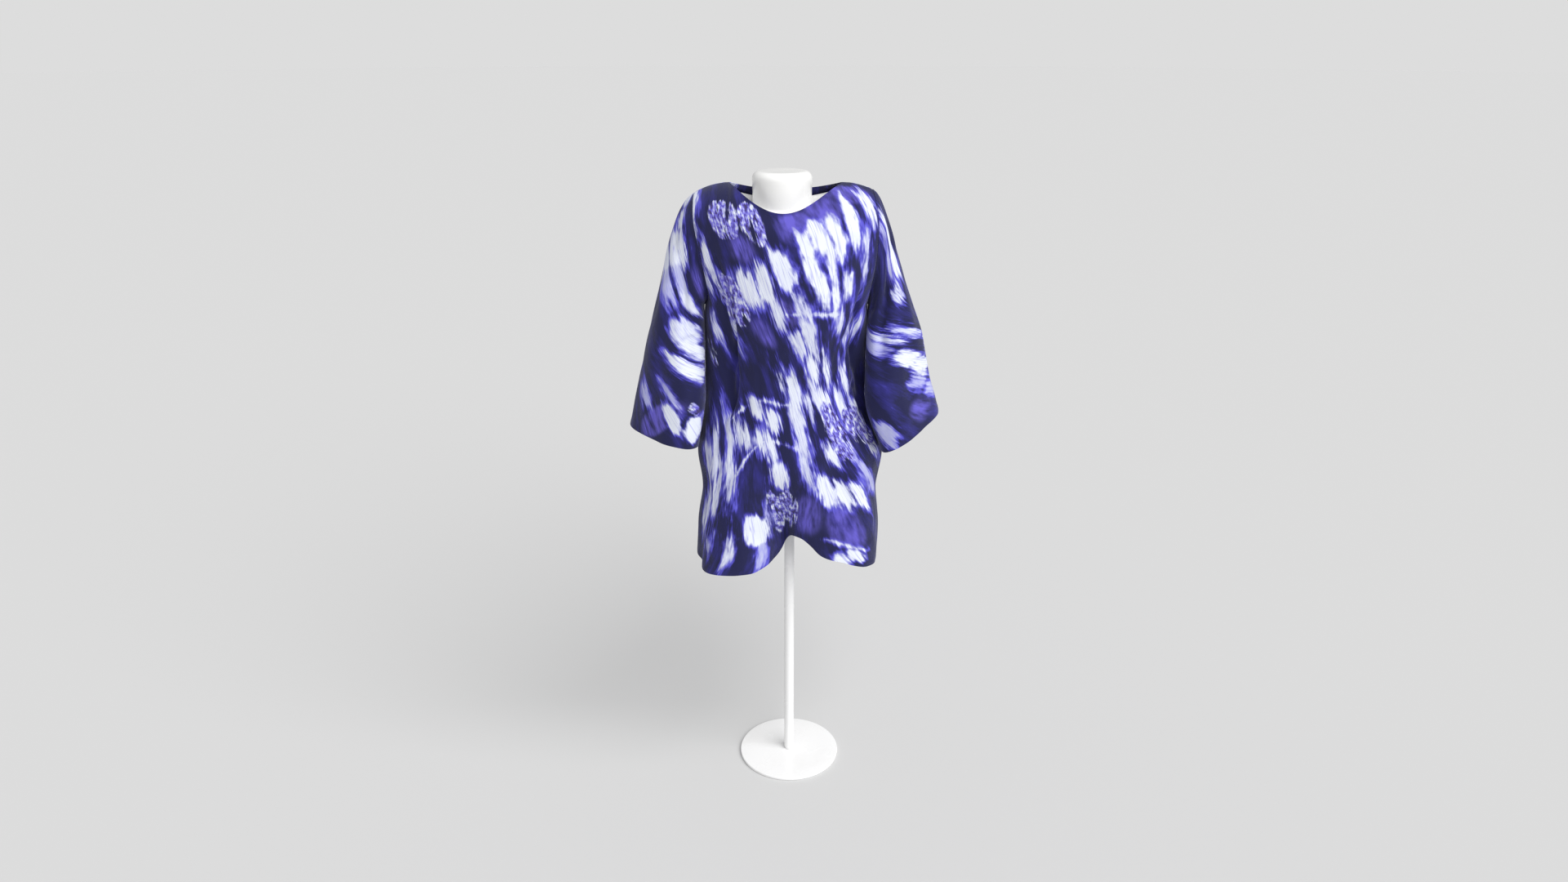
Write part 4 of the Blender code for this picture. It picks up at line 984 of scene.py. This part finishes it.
def streak_plan(streaks):
    """A plan of how far across the streaks each point of cloth lies. On the plan's own level
    line it equals the distance across, and it is carried along the streaks from row to row, up
    and down. The plan is turned by the base lean, so that no streak runs along its rows."""
    side, along = np.arange(*PLAN_SIDE, STREAK_CELL), np.arange(*PLAN_ALONG, STREAK_CELL)
    turned = radians(streaks.base)
    square_side, square_along = np.meshgrid(side, along)
    across = square_side * cos(turned) - square_along * sin(turned)
    up = square_side * sin(turned) + square_along * cos(turned)
    off_base = np.clip(lean_at(streaks.leans, across, up) - streaks.base, -LEAN_LIMIT, LEAN_LIMIT)
    slope = np.tan(np.radians(off_base))
    table = np.empty_like(slope)
    start = int(np.argmin(np.abs(along - streaks.level)))
    table[start] = side
    for row in range(start + 1, len(along)):
        table[row] = np.interp(side + slope[row] * STREAK_CELL, side, table[row - 1])
    for row in range(start - 1, -1, -1):
        table[row] = np.interp(side - slope[row] * STREAK_CELL, side, table[row + 1])
    return Plan(turned, side, along, table)


def read_plan(plan, across, up):
    """Where points of cloth lie across the streaks and along them: the plan between its four
    nearest cells, weighed by nearness."""
    turned, side, along, table = plan
    here_side = across * cos(turned) + up * sin(turned)
    here_along = up * cos(turned) - across * sin(turned)
    column = np.clip((here_side - side[0]) / STREAK_CELL, 0, len(side) - LAST_CELL)
    row = np.clip((here_along - along[0]) / STREAK_CELL, 0, len(along) - LAST_CELL)
    left, low = column.astype(int), row.astype(int)
    right_share, high_share = column - left, row - low
    below = table[low, left] * (1 - right_share) + table[low, left + 1] * right_share
    above = table[low + 1, left] * (1 - right_share) + table[low + 1, left + 1] * right_share
    return below * (1 - high_share) + above * high_share, here_along


def charted(rows, seed):
    """The patches of the rows: evenly from a row's first place to its last, each moved by up to
    a fifth of a step along the row and by up to 6 mm up or down, and made up to a fifth smaller
    or larger."""
    dice = np.random.default_rng(seed)
    patches = []
    for row in rows:
        for place in range(row.count):
            moved = dice.uniform(-ROW_MOVE, ROW_MOVE) if row.count > 1 else 0.0
            share = (place + moved) / max(row.count - 1, 1)
            across = row.across0 + (row.across1 - row.across0) * share
            up = row.up0 + (row.up1 - row.up0) * share + dice.uniform(-ROW_RISE, ROW_RISE)
            longer, wider = dice.uniform(*ROW_SIZES, 2)
            patches.append(Patch(row.tone, across, up, row.length * longer, row.width * wider))
    return patches


def scattered(scatter):
    """Patches in even steps over a rectangle of cloth, with seeded tones and sizes like the
    charted ones."""
    seed, count, left, right, low, high = scatter
    dice = np.random.default_rng(seed)
    steps = np.arange(1, count + 1)
    across = left + (right - left) * ((steps * EVEN_STEPS[0]) % 1.0)
    up = low + (high - low) * ((steps * EVEN_STEPS[1]) % 1.0)
    tones = dice.choice(list(SCATTER_TONES), count, p=list(SCATTER_TONES.values()))
    lengths = dice.uniform(*SCATTER_LENGTHS, count)
    widths = dice.uniform(*SCATTER_WIDTHS, count)
    return [
        Patch(tone, a, u, length, width * SCATTER_WIDER.get(str(tone), 1.0))
        for tone, a, u, length, width in zip(tones, across, up, lengths, widths)
    ]


def line_distance(line, across, up):
    """The distance from a tie line, whose height is a parabola of the share along it."""
    share = np.clip((across - line.across0) / (line.across1 - line.across0), 0.0, 1.0)
    height = line.up0 + (line.up1 - line.up0) * share + line.rise * 4 * share * (1 - share)
    beyond = across - line.across0 - (line.across1 - line.across0) * share
    return np.hypot(beyond, up - height)


def streak_scale(plan, across, up):
    """How closely the plan's lines lie at one place, and the cosine of their lean in the plan."""
    ahead = NEAR_STEP * np.array([cos(plan.turned), sin(plan.turned)])
    here = read_plan(plan, np.array(across), np.array(up))[0]
    beside = read_plan(plan, np.array(across + ahead[0]), np.array(up + ahead[1]))[0]
    above = read_plan(plan, np.array(across - ahead[1]), np.array(up + ahead[0]))[0]
    scale = np.hypot(beside - here, above - here) / NEAR_STEP
    return scale, (beside - here) / NEAR_STEP / scale


def patch_depth(plan, patch, over, along):
    """How deep inside a patch points lie, in metres. It is a pointed oval in the streaks' own
    measure, and the depth is half its width times one less the oval's radius."""
    middle, row = read_plan(plan, np.array(patch.across), np.array(patch.up))
    scale, cosine = streak_scale(plan, patch.across, patch.up)
    half = patch.width / 2 * SPREAD
    long_way = np.abs(along - row) / (patch.length / 2 * cosine)
    short_way = np.abs(over - middle) / (half * scale)
    return (1 - np.sqrt(long_way**OVAL_POWER + short_way**2)) * half


def dye_masks(measure, patches, streaks):
    """The dye at each point of cloth: where it lies across and along the streaks, how deep it is
    in the nearest pale patch in metres, how pale the patches near it are, and how violet and how
    mottled it is."""
    across, up = measure[..., 0], measure[..., 1]
    plan = streak_plan(streaks)
    over, along = read_plan(plan, across, up)
    pale = np.full(across.shape, FAR_FROM_PATCHES)
    weight, tone = np.full(across.shape, FAR_WEIGHT), np.full(across.shape, FAR_TONE)
    violet, crackle = np.zeros(across.shape), np.zeros(across.shape)
    for patch in patches:
        depth = patch_depth(plan, patch, over, along)
        if patch.tone in TONES:
            near = np.exp(np.clip(depth, -TONE_REACH, TONE_REACH) / TONE_BLEND)
            weight, tone = weight + near, tone + near * TONES[patch.tone]
            pale = np.maximum(pale, depth)
        elif patch.tone == "violet":
            violet = np.maximum(violet, smooth_step(depth / VIOLET_FADE + VIOLET_OVER))
        else:
            crackle = np.maximum(crackle, smooth_step(depth / CRACKLE_FADE + CRACKLE_OVER))
    for line in streaks.lines:
        pale = np.maximum(pale, TIE_WIDTH - line_distance(line, across, up) * TIE_FALL)
    return np.stack([over, along], axis=-1), pale, tone / weight, violet, crackle


def wall_corners(rows, spans, closed):
    """Row, column and skin (0 outer, 1 inner) of the four corners of each quad of a wall: its
    skins, then its first and last edges, then its sides unless it closes on itself."""
    row, here = (part.ravel() for part in np.mgrid[0:rows - 1, 0:spans])
    edge, up = np.arange(spans), np.arange(rows - 1)
    first, last, start, end = 0 * edge, 0 * edge + rows - 1, 0 * up, 0 * up + spans
    walls = [
        [(row, here, 0), (row, here + 1, 0), (row + 1, here + 1, 0), (row + 1, here, 0)],
        [(row, here, 1), (row + 1, here, 1), (row + 1, here + 1, 1), (row, here + 1, 1)],
        [(first, edge + 1, 0), (first, edge, 0), (first, edge, 1), (first, edge + 1, 1)],
        [(last, edge, 0), (last, edge + 1, 0), (last, edge + 1, 1), (last, edge, 1)],
    ]
    if not closed:
        walls.append([(up, start, 0), (up + 1, start, 0), (up + 1, start, 1), (up, start, 1)])
        walls.append([(up + 1, end, 0), (up, end, 0), (up, end, 1), (up + 1, end, 1)])
    quads = [
        np.stack([np.stack(np.broadcast_arrays(*corner), axis=-1) for corner in wall], axis=1)
        for wall in walls
    ]
    return np.concatenate(quads)


def new_piece(name, points, faces, material):
    """An object of smooth faces, with sharp edges only where two faces meet steeply."""
    mesh = bpy.data.meshes.new(name)
    mesh.from_pydata(points.reshape(-1, 3), [], faces)
    mesh.shade_smooth()
    mesh.set_sharp_from_angle(angle=radians(SHARP_ANGLE))
    mesh.materials.append(material)
    piece = bpy.data.objects.new(name, mesh)
    bpy.context.scene.collection.objects.link(piece)
    return piece


def add_cloth(name, cloth, turned, dye, material):
    """A thin shell between two skins, with its measure and its streaks as UV maps and its dye
    as attributes of its points."""
    outer, inner, measure = cloth
    rows, columns = outer.shape[:2]
    closed = measure.shape[1] > columns
    corners = wall_corners(rows, measure.shape[1] - 1, closed)
    if turned:
        corners = corners[:, ::-1]
    row, column, skin = corners[..., 0], corners[..., 1], corners[..., 2]
    faces = skin * rows * columns + row * columns + column % columns
    piece = new_piece(name, np.concatenate([outer, inner]), faces.tolist(), material)
    streaks, pale, tone, violet, crackle = dye
    for map_name, values in (("cloth", measure), ("streaks", streaks)):
        layer = piece.data.uv_layers.new(name=map_name)
        layer.data.foreach_set("uv", values[row, column].astype(np.float32).ravel())
    masks = {"pale": pale, "tone": tone, "violet": violet, "crackle": crackle}
    for mask_name, values in masks.items():
        skin_values = values[:, :columns].ravel()
        layer = piece.data.attributes.new(mask_name, "FLOAT", "POINT")
        layer.data.foreach_set("value", np.tile(skin_values, 2).astype(np.float32))
    return piece


def ring_quads(count, sides):
    """The corners of the quads between closed rings, from each ring to the next."""
    ring, here = (corner.ravel() for corner in np.mgrid[0:count - 1, 0:sides])
    beside = (here + 1) % sides
    quads = np.stack([ring * sides + here, ring * sides + beside], axis=1)
    return np.concatenate([quads, quads[:, ::-1] + sides], axis=1).tolist()


def add_rings(name, rings, material):
    """Joins closed rings, from the first to the last, and closes each end with a fan of
    triangles round its middle."""
    rings = np.array(rings)
    count, sides = rings.shape[:2]
    ends = np.stack([rings[0].mean(axis=0), rings[-1].mean(axis=0)])
    points = np.concatenate([rings.reshape(-1, 3), ends])
    here, first, last = np.arange(sides), count * sides, (count - 1) * sides
    beside = (here + 1) % sides
    bottom = np.stack([beside, here, here * 0 + first], axis=1)
    top = np.stack([last + here, last + beside, here * 0 + first + 1], axis=1)
    faces = ring_quads(count, sides) + bottom.tolist() + top.tolist()
    return new_piece(name, points, faces, material)


def level_ring(x, radius, z, sides):
    """A level circle, anticlockwise from the front."""
    turn = np.arange(sides) * 2 * pi / sides
    return np.stack([x + radius * np.sin(turn), -radius * np.cos(turn), z + 0 * turn], axis=-1)


def form_skin():
    """The torso's rings: each runs as the sine of the turn between its sides, and as the cosine
    to the power of twice the bow to its front or back. Between the table's rows every column
    follows a cubic of the distance along the side."""
    rows = np.array([section[1:] for section in FORM_SECTIONS])
    steps = np.hypot(np.diff(rows[:, 1]), np.diff(rows[:, 2])) + np.abs(np.diff(rows[:, 3])) / 2
    knots = np.concatenate([[0.0], np.cumsum(steps)])
    at = np.unique(np.concatenate([np.linspace(0, knots[-1], FORM_GRID[0]), knots]))
    left, right, side_z, front, front_z, back, back_z, bow = smooth_curve(knots, rows, at).T
    turn = (np.arange(FORM_GRID[1]) * 2 * pi / FORM_GRID[1])[:, None]
    ahead = np.cos(turn)
    x = (left + right) / 2 + np.sin(turn) * (right - left - 2 * FORM_INSET) / 2
    reach = np.where(ahead > 0, front + FORM_INSET, back - FORM_INSET)
    y = reach * np.abs(ahead) ** (2 * bow)
    z = side_z + (np.where(ahead > 0, front_z, back_z) - side_z) * ahead**2
    return np.stack([x, y, z], axis=-1).transpose(1, 0, 2)


def add_form(material):
    """The dress form: its socket for the pole, its underside, its torso and its neck stump,
    whose top edge is a quarter round."""
    sides = FORM_GRID[1]
    rings = [level_ring(0.0, SOCKET_RADIUS, z, sides) for z in (SOCKET_TOP, FORM_SECTIONS[0].side_z)]
    rings += list(form_skin())
    edge = NECK_TOP - FORM_SECTIONS[-1].side_z
    for turn in np.linspace(0, pi / 2, NECK_EDGE_RINGS + 1)[1:]:
        radius = NECK_RADIUS - FORM_INSET - edge * (1 - np.cos(turn))
        rings.append(level_ring(NECK_X, radius, NECK_TOP - edge * (1 - np.sin(turn)), sides))
    for radius in NECK_TOP_RADII:
        rings.append(level_ring(NECK_X, radius, NECK_TOP, sides))
    return add_rings("form_skin", rings, material)


def add_lathe(name, profile, material):
    """A profile of radius and height, turned once round the stand's axis."""
    rings = [level_ring(0.0, radius, z, STAND_SIDES) for radius, z in profile]
    return add_rings(name, rings, material)


def add_stand(material):
    """The pole, with a fine rounded edge at each end, and the base plate, whose upper and lower
    edges are quarter rounds."""
    levels = np.linspace(POLE_LOW + POLE_PLAIN, POLE_HIGH - POLE_PLAIN, POLE_RINGS)
    pole = [(POLE_RADIUS - POLE_EDGE, POLE_LOW), (POLE_RADIUS, POLE_LOW + POLE_EDGE)]
    pole += [(POLE_RADIUS, z) for z in levels]
    pole += [(POLE_RADIUS, POLE_HIGH - POLE_EDGE), (POLE_RADIUS - POLE_EDGE, POLE_HIGH)]
    turns = np.linspace(0, pi / 2, BASE_EDGE_STEPS)
    inner = BASE_RADIUS - BASE_EDGE
    rim = [(inner + BASE_EDGE * sin(t), BASE_EDGE * (1 - cos(t))) for t in turns]
    rim += [(inner + BASE_EDGE * cos(t), BASE_HEIGHT - BASE_EDGE * (1 - sin(t))) for t in turns]
    base = [(r, 0.0) for r in BASE_UNDER_RADII] + rim
    base += [(r, BASE_HEIGHT) for r in BASE_TOP_RADII]
    return add_lathe("pole_tube", pole, material), add_lathe("base_plate", base, material)


def add_node(tree, kind, inputs=(), **settings):
    """Adds a node, sets it, and feeds its inputs, by name or number, with sockets or values."""
    made = tree.nodes.new(kind)
    for name, value in settings.items():
        setattr(made, name, value)
    for name, value in dict(inputs).items():
        if isinstance(value, bpy.types.NodeSocket):
            tree.links.new(value, made.inputs[name])
        else:
            made.inputs[name].default_value = value
    return made


def math(tree, operation, first, second=0.0, third=0.0):
    """The output of a math node."""
    inputs = {0: first, 1: second, 2: third}
    return add_node(tree, "ShaderNodeMath", inputs, operation=operation).outputs[0]


def added(tree, start, noise, shares):
    """A value with noises on top, each times its share."""
    for name, share in shares.items():
        start = math(tree, "MULTIPLY_ADD", noise[name], share, start)
    return start


def remap(tree, value, low, high, to_low=0.0, to_high=1.0):
    """A value carried smoothly from one range into another."""
    inputs = {"Value": value, 1: low, 2: high, 3: to_low, 4: to_high}
    return add_node(
        tree, "ShaderNodeMapRange", inputs, interpolation_type="SMOOTHSTEP"
    ).outputs["Result"]


def blend_colour(tree, share, first, second):
    """A mix of two colours."""
    inputs = {0: share, 6: first, 7: second}
    return add_node(tree, "ShaderNodeMix", inputs, data_type="RGBA").outputs[2]


def ramp(tree, value, stops):
    """A colour ramp through (position, colour) stops."""
    made = add_node(tree, "ShaderNodeValToRGB", {0: value})
    elements = made.color_ramp.elements
    for _ in stops[2:]:
        elements.new(0.5)
    for element, (position, colour) in zip(elements, stops):
        element.position, element.color = position, colour
    return made.outputs[0]


def grain(tree, vector, stretch, detail=2.0, roughness=0.5):
    """Noise around 0, from a vector that is multiplied by a stretch (cycles per metre)."""
    inputs = {0: vector, 1: stretch}
    scaled = add_node(tree, "ShaderNodeVectorMath", inputs, operation="MULTIPLY").outputs[0]
    inputs = {"Vector": scaled, "Scale": 1.0, "Detail": detail, "Roughness": roughness}
    noise = add_node(tree, "ShaderNodeTexNoise", inputs)
    return math(tree, "SUBTRACT", noise.outputs[0], 0.5)


def new_group(name, inputs, outputs):
    """A shader node group with its named sockets, and its two end nodes."""
    group = bpy.data.node_groups.new(name, "ShaderNodeTree")
    for way, sockets in (("INPUT", inputs), ("OUTPUT", outputs)):
        for socket_name, kind in sockets.items():
            group.interface.new_socket(socket_name, in_out=way, socket_type="NodeSocket" + kind)
    return group, group.nodes.new("NodeGroupInput"), group.nodes.new("NodeGroupOutput")


def weave_group():
    """A plain weave: the height is the product of two crossed sets of threads, each the sine of
    its own direction, so that they go over and under each other in turn, with uneven thickness."""
    group, start, end = new_group(
        "weave",
        {"Cloth": "Vector", "Threads": "Float"},
        {"Height": "Float", "Unevenness": "Float"},
    )
    spread = add_node(group, "ShaderNodeSeparateXYZ", {0: start.outputs["Cloth"]})
    turns = math(group, "MULTIPLY", start.outputs["Threads"], pi)
    warp = math(group, "SINE", math(group, "MULTIPLY", spread.outputs[0], turns))
    weft = math(group, "SINE", math(group, "MULTIPLY", spread.outputs[1], turns))
    crossing = math(group, "MULTIPLY", warp, weft)
    slub = grain(group, start.outputs["Cloth"], SLUB, 3.0)
    height = math(group, "MULTIPLY_ADD", slub, SLUB_SHARE, crossing)
    group.links.new(height, end.inputs["Height"])
    group.links.new(math(group, "ADD", slub, 0.5), end.inputs["Unevenness"])
    return group


def faint_wear_group():
    """Soft handling marks: a cloudy mask, and a slightly duller and darker colour within it."""
    group, start, end = new_group(
        "faint_wear",
        {"Place": "Vector", "Colour": "Color", "Gloss": "Float"},
        {"Colour": "Color", "Roughness": "Float", "Height": "Float"},
    )
    place = start.outputs["Place"]
    clouds = remap(group, grain(group, place, WEAR_CLOUDS, 4.0), *WEAR_CLOUD_RANGE)
    specks = remap(group, grain(group, place, WEAR_SPECKS), *WEAR_SPECK_RANGE)
    duller = start.outputs["Colour"]
    for mask, colour in ((clouds, HANDLED), (specks, SPECKED)):
        share = math(group, "MULTIPLY", mask, WEAR_SHARE)
        duller = blend_colour(group, share, duller, colour)
    rough = math(group, "MULTIPLY_ADD", clouds, WEAR_ROUGHNESS, start.outputs["Gloss"])
    peel = grain(group, place, PEEL)
    group.links.new(duller, end.inputs["Colour"])
    group.links.new(rough, end.inputs["Roughness"])
    group.links.new(peel, end.inputs["Height"])
    return group


def new_material(name, settings):
    """A material whose shader has these constants. Returns it, its tree and its shader."""
    material = bpy.data.materials.new(name)
    material.use_nodes = True
    shader = material.node_tree.nodes["Principled BSDF"]
    for socket, value in settings.items():
        shader.inputs[socket].default_value = value
    return material, material.node_tree, shader


def attribute(tree, name):
    """The value of a point attribute."""
    return add_node(tree, "ShaderNodeAttribute", attribute_name=name).outputs["Fac"]


def dark_dye(tree, noise, depth):
    """The dyed ground: navy with indigo streaks, a royal blue rim round the pale patches, and
    violet clouds."""
    ground = added(tree, remap(tree, depth, *RIM_RANGE), noise, GROUND_NOISE)
    dark = ramp(tree, math(tree, "ADD", ground, GROUND_START), DARK_STOPS)
    cloudy = added(tree, CLOUD_START, noise, CLOUD_NOISE)
    violet = math(tree, "MULTIPLY", attribute(tree, "violet"), cloudy)
    return blend_colour(tree, violet, dark, VIOLET)


def pale_dye(tree, noise, depth):
    """The pale patches: paler away from their edges, with thin darker veins along them."""
    tone = added(tree, attribute(tree, "tone"), noise, TONE_NOISE)
    tone = math(tree, "ADD", tone, remap(tree, depth, *PALE_RISE))
    pale = ramp(tree, tone, PALE_STOPS)
    off_vein = math(tree, "ABSOLUTE", added(tree, noise["hair"], noise, VEIN_NOISE))
    return blend_colour(tree, remap(tree, off_vein, *VEIN_RANGE), pale, HAZE)


def mottled_dye(tree, noise):
    """The mottled places: small blots in tones from dusk to undyed."""
    blots = added(tree, noise["blots"], noise, BLOT_NOISE)
    return ramp(tree, math(tree, "ADD", blots, BLOT_START), MOTTLED_STOPS)


def dye_colour(tree, streaks):
    """The tie-dye: pale patches with feathered edges on a dark ground, and mottled places."""
    noise = {
        name: grain(tree, streaks, cycles, detail) for name, (cycles, detail) in DYE_NOISE.items()
    }
    depth = added(tree, attribute(tree, "pale"), noise, FEATHER)
    dark, pale = dark_dye(tree, noise, depth), pale_dye(tree, noise, depth)
    colour = blend_colour(tree, remap(tree, depth, *PALE_EDGE), dark, pale)
    uneven = added(tree, MOTTLED_START, noise, MOTTLED_NOISE)
    edge = math(tree, "MULTIPLY", attribute(tree, "crackle"), uneven)
    return blend_colour(tree, remap(tree, edge, *MOTTLED_EDGE), colour, mottled_dye(tree, noise))


def dyed_cloth_material(weave):
    """Soft plain-woven cloth with the tie-dye."""
    material, tree, shader = new_material("dyed_cloth", CLOTH_FINISH)
    cloth = add_node(tree, "ShaderNodeUVMap", uv_map="cloth").outputs["UV"]
    streaks = add_node(tree, "ShaderNodeUVMap", uv_map="streaks").outputs["UV"]
    woven = add_node(tree, "ShaderNodeGroup", node_tree=weave)
    tree.links.new(cloth, woven.inputs["Cloth"])
    woven.inputs["Threads"].default_value = THREADS
    crumple = grain(tree, cloth, CRUMPLE, 3.0, 0.55)
    height = math(tree, "MULTIPLY_ADD", crumple, CRUMPLE_SHARE, woven.outputs["Height"])
    bump = add_node(tree, "ShaderNodeBump", {**CLOTH_BUMP, "Height": height})
    least, more = CLOTH_ROUGHNESS
    rough = math(tree, "MULTIPLY_ADD", woven.outputs["Unevenness"], more, least)
    tree.links.new(dye_colour(tree, streaks), shader.inputs["Base Color"])
    tree.links.new(rough, shader.inputs["Roughness"])
    tree.links.new(bump.outputs[0], shader.inputs["Normal"])
    return material


def white_gloss_material(name, gloss, wear):
    """A white gloss finish with faint wear, and a slight ripple as of moulding or paint."""
    material, tree, shader = new_material(name, gloss.coat)
    place = add_node(tree, "ShaderNodeTexCoord").outputs["Object"]
    worn = add_node(tree, "ShaderNodeGroup", node_tree=wear)
    tree.links.new(place, worn.inputs["Place"])
    worn.inputs["Colour"].default_value = gloss.colour
    worn.inputs["Gloss"].default_value = gloss.roughness
    inputs = {"Strength": PEEL_STRENGTH, "Distance": gloss.peel, "Height": worn.outputs["Height"]}
    bump = add_node(tree, "ShaderNodeBump", inputs)
    tree.links.new(worn.outputs["Colour"], shader.inputs["Base Color"])
    tree.links.new(worn.outputs["Roughness"], shader.inputs["Roughness"])
    tree.links.new(bump.outputs[0], shader.inputs["Normal"])
    return material


def add_camera():
    """The photograph's viewpoint: level left to right, looking 21 degrees down."""
    camera = bpy.data.cameras.new("camera")
    camera.lens, camera.sensor_width, camera.clip_end = CAMERA_LENS, CAMERA_SENSOR, CAMERA_END
    placed = bpy.data.objects.new("camera", camera)
    placed.location = CAMERA_PLACE
    placed.rotation_euler = (radians(CAMERA_TILT), 0.0, 0.0)
    bpy.context.scene.collection.objects.link(placed)
    bpy.context.scene.camera = placed


def add_sun(name, strength, spread, tilt, turn):
    """Even light from one direction: tilt is down from overhead and turn is round from the
    front, positive to the right."""
    sun = bpy.data.lights.new(name, "SUN")
    sun.energy, sun.angle = strength, radians(spread)
    placed = bpy.data.objects.new(name, sun)
    placed.rotation_euler = (radians(tilt), 0.0, radians(turn))
    bpy.context.scene.collection.objects.link(placed)


def add_backdrop():
    """A plain grey round everything, which gives the part less light than the camera sees."""
    world = bpy.data.worlds.new("studio")
    world.use_nodes = True
    backdrop = world.node_tree.nodes["Background"]
    backdrop.inputs["Color"].default_value = BACKDROP
    seen = add_node(world.node_tree, "ShaderNodeLightPath").outputs["Is Camera Ray"]
    strength = math(world.node_tree, "MULTIPLY_ADD", seen, 1.0 - FILL, FILL)
    world.node_tree.links.new(strength, backdrop.inputs["Strength"])
    bpy.context.scene.world = world
    bpy.context.scene.view_settings.view_transform = "Standard"


def add_floor():
    """A pale disc of rings that narrow to the middle, faintly clouded, out to the backdrop."""
    material, tree, shader = new_material("floor", FLOOR_FINISH)
    place = add_node(tree, "ShaderNodeTexCoord").outputs["Object"]
    cloud = grain(tree, place, FLOOR_CLOUD)
    share = math(tree, "MULTIPLY_ADD", cloud, FLOOR_CLOUD_SHARE, 0.5)
    tree.links.new(blend_colour(tree, share, *FLOOR_TONES), shader.inputs["Base Color"])
    rings = np.array([level_ring(0.0, radius, FLOOR_Z, FLOOR_SIDES) for radius in FLOOR_RADII])
    first = (len(FLOOR_RADII) - 1) * FLOOR_SIDES
    middle = [list(range(first, first + FLOOR_SIDES))]
    return new_piece("floor", rings, ring_quads(len(FLOOR_RADII), FLOOR_SIDES) + middle, material)


def blouse_patches():
    """The dye's patches on each piece: the charted rows where the photograph shows the cloth,
    and scattered ones on the back and on the sleeves' rear halves."""
    # Partly painted shade: the back keeps no patches in its middle under the neckline, so the inside
    # there stays plain dark navy as in shade.
    back = [
        patch
        for patch in scattered(BACK_SCATTER)
        if abs(patch.across) > BACK_NECK_SHADE_HALF or patch.up < BACK_NECK_SHADE_LOW
    ]
    return {
        "front": charted(FRONT_ROWS, ROW_SEEDS["front"]),
        "back": back,
        "left": charted(LEFT_SLEEVE_ROWS, ROW_SEEDS["left"]) + scattered(LEFT_SCATTER),
        "right": charted(RIGHT_SLEEVE_ROWS, ROW_SEEDS["right"]) + scattered(RIGHT_SCATTER),
    }


def add_blouse(material):
    """The four cut pieces, by the node that each stands for."""
    patches, seeds = blouse_patches(), RIPPLE_SEEDS
    front = body_cloth(-1, FRONT_GRID, FRONT_CREASES, seeds["front"])
    back = body_cloth(1, BACK_GRID, BACK_CREASES, seeds["back"])
    left = sleeve_cloth(-1, LEFT_SLEEVE, LEFT_CAP, LEFT_SLEEVE_CREASES, seeds["left"])
    right = sleeve_cloth(1, RIGHT_SLEEVE, RIGHT_CAP, RIGHT_SLEEVE_CREASES, seeds["right"])
    made = {}
    for name, node, cloth, turned, side, streaks in (
        ("front_cloth", "blouse_front", front, False, "front", FRONT_STREAKS),
        ("back_cloth", "blouse_back", back, True, "back", BACK_STREAKS),
        ("left_sleeve_cloth", "sleeve_left", left, False, "left", LEFT_SLEEVE_STREAKS),
        ("right_sleeve_cloth", "sleeve_right", right, True, "right", RIGHT_SLEEVE_STREAKS),
    ):
        dye = dye_masks(cloth[2], patches[side], streaks)
        made[node] = add_cloth(name, cloth, turned, dye, material)
    return made


def main():
    """Dresses the frame: cloth, form and stand, then the studio."""
    weave, wear = weave_group(), faint_wear_group()
    pieces = add_blouse(dyed_cloth_material(weave))
    form = add_form(white_gloss_material("form_shell", FORM_GLOSS, wear))
    pole, base = add_stand(white_gloss_material("stand_metal", STAND_GLOSS, wear))
    for node, piece in pieces.items():
        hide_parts(node)
    for piece, node, slot in (
        (form, "form_torso", "form_shell"),
        (pole, "stand_pole", "stand_metal"),
        (base, "stand_base", "stand_metal"),
    ):
        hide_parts(node)
    for piece in [*pieces.values(), form, pole, base]:
        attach(piece, "root")
    add_camera()
    add_backdrop()
    add_sun("key", **KEY_SUN)
    add_floor()


main()
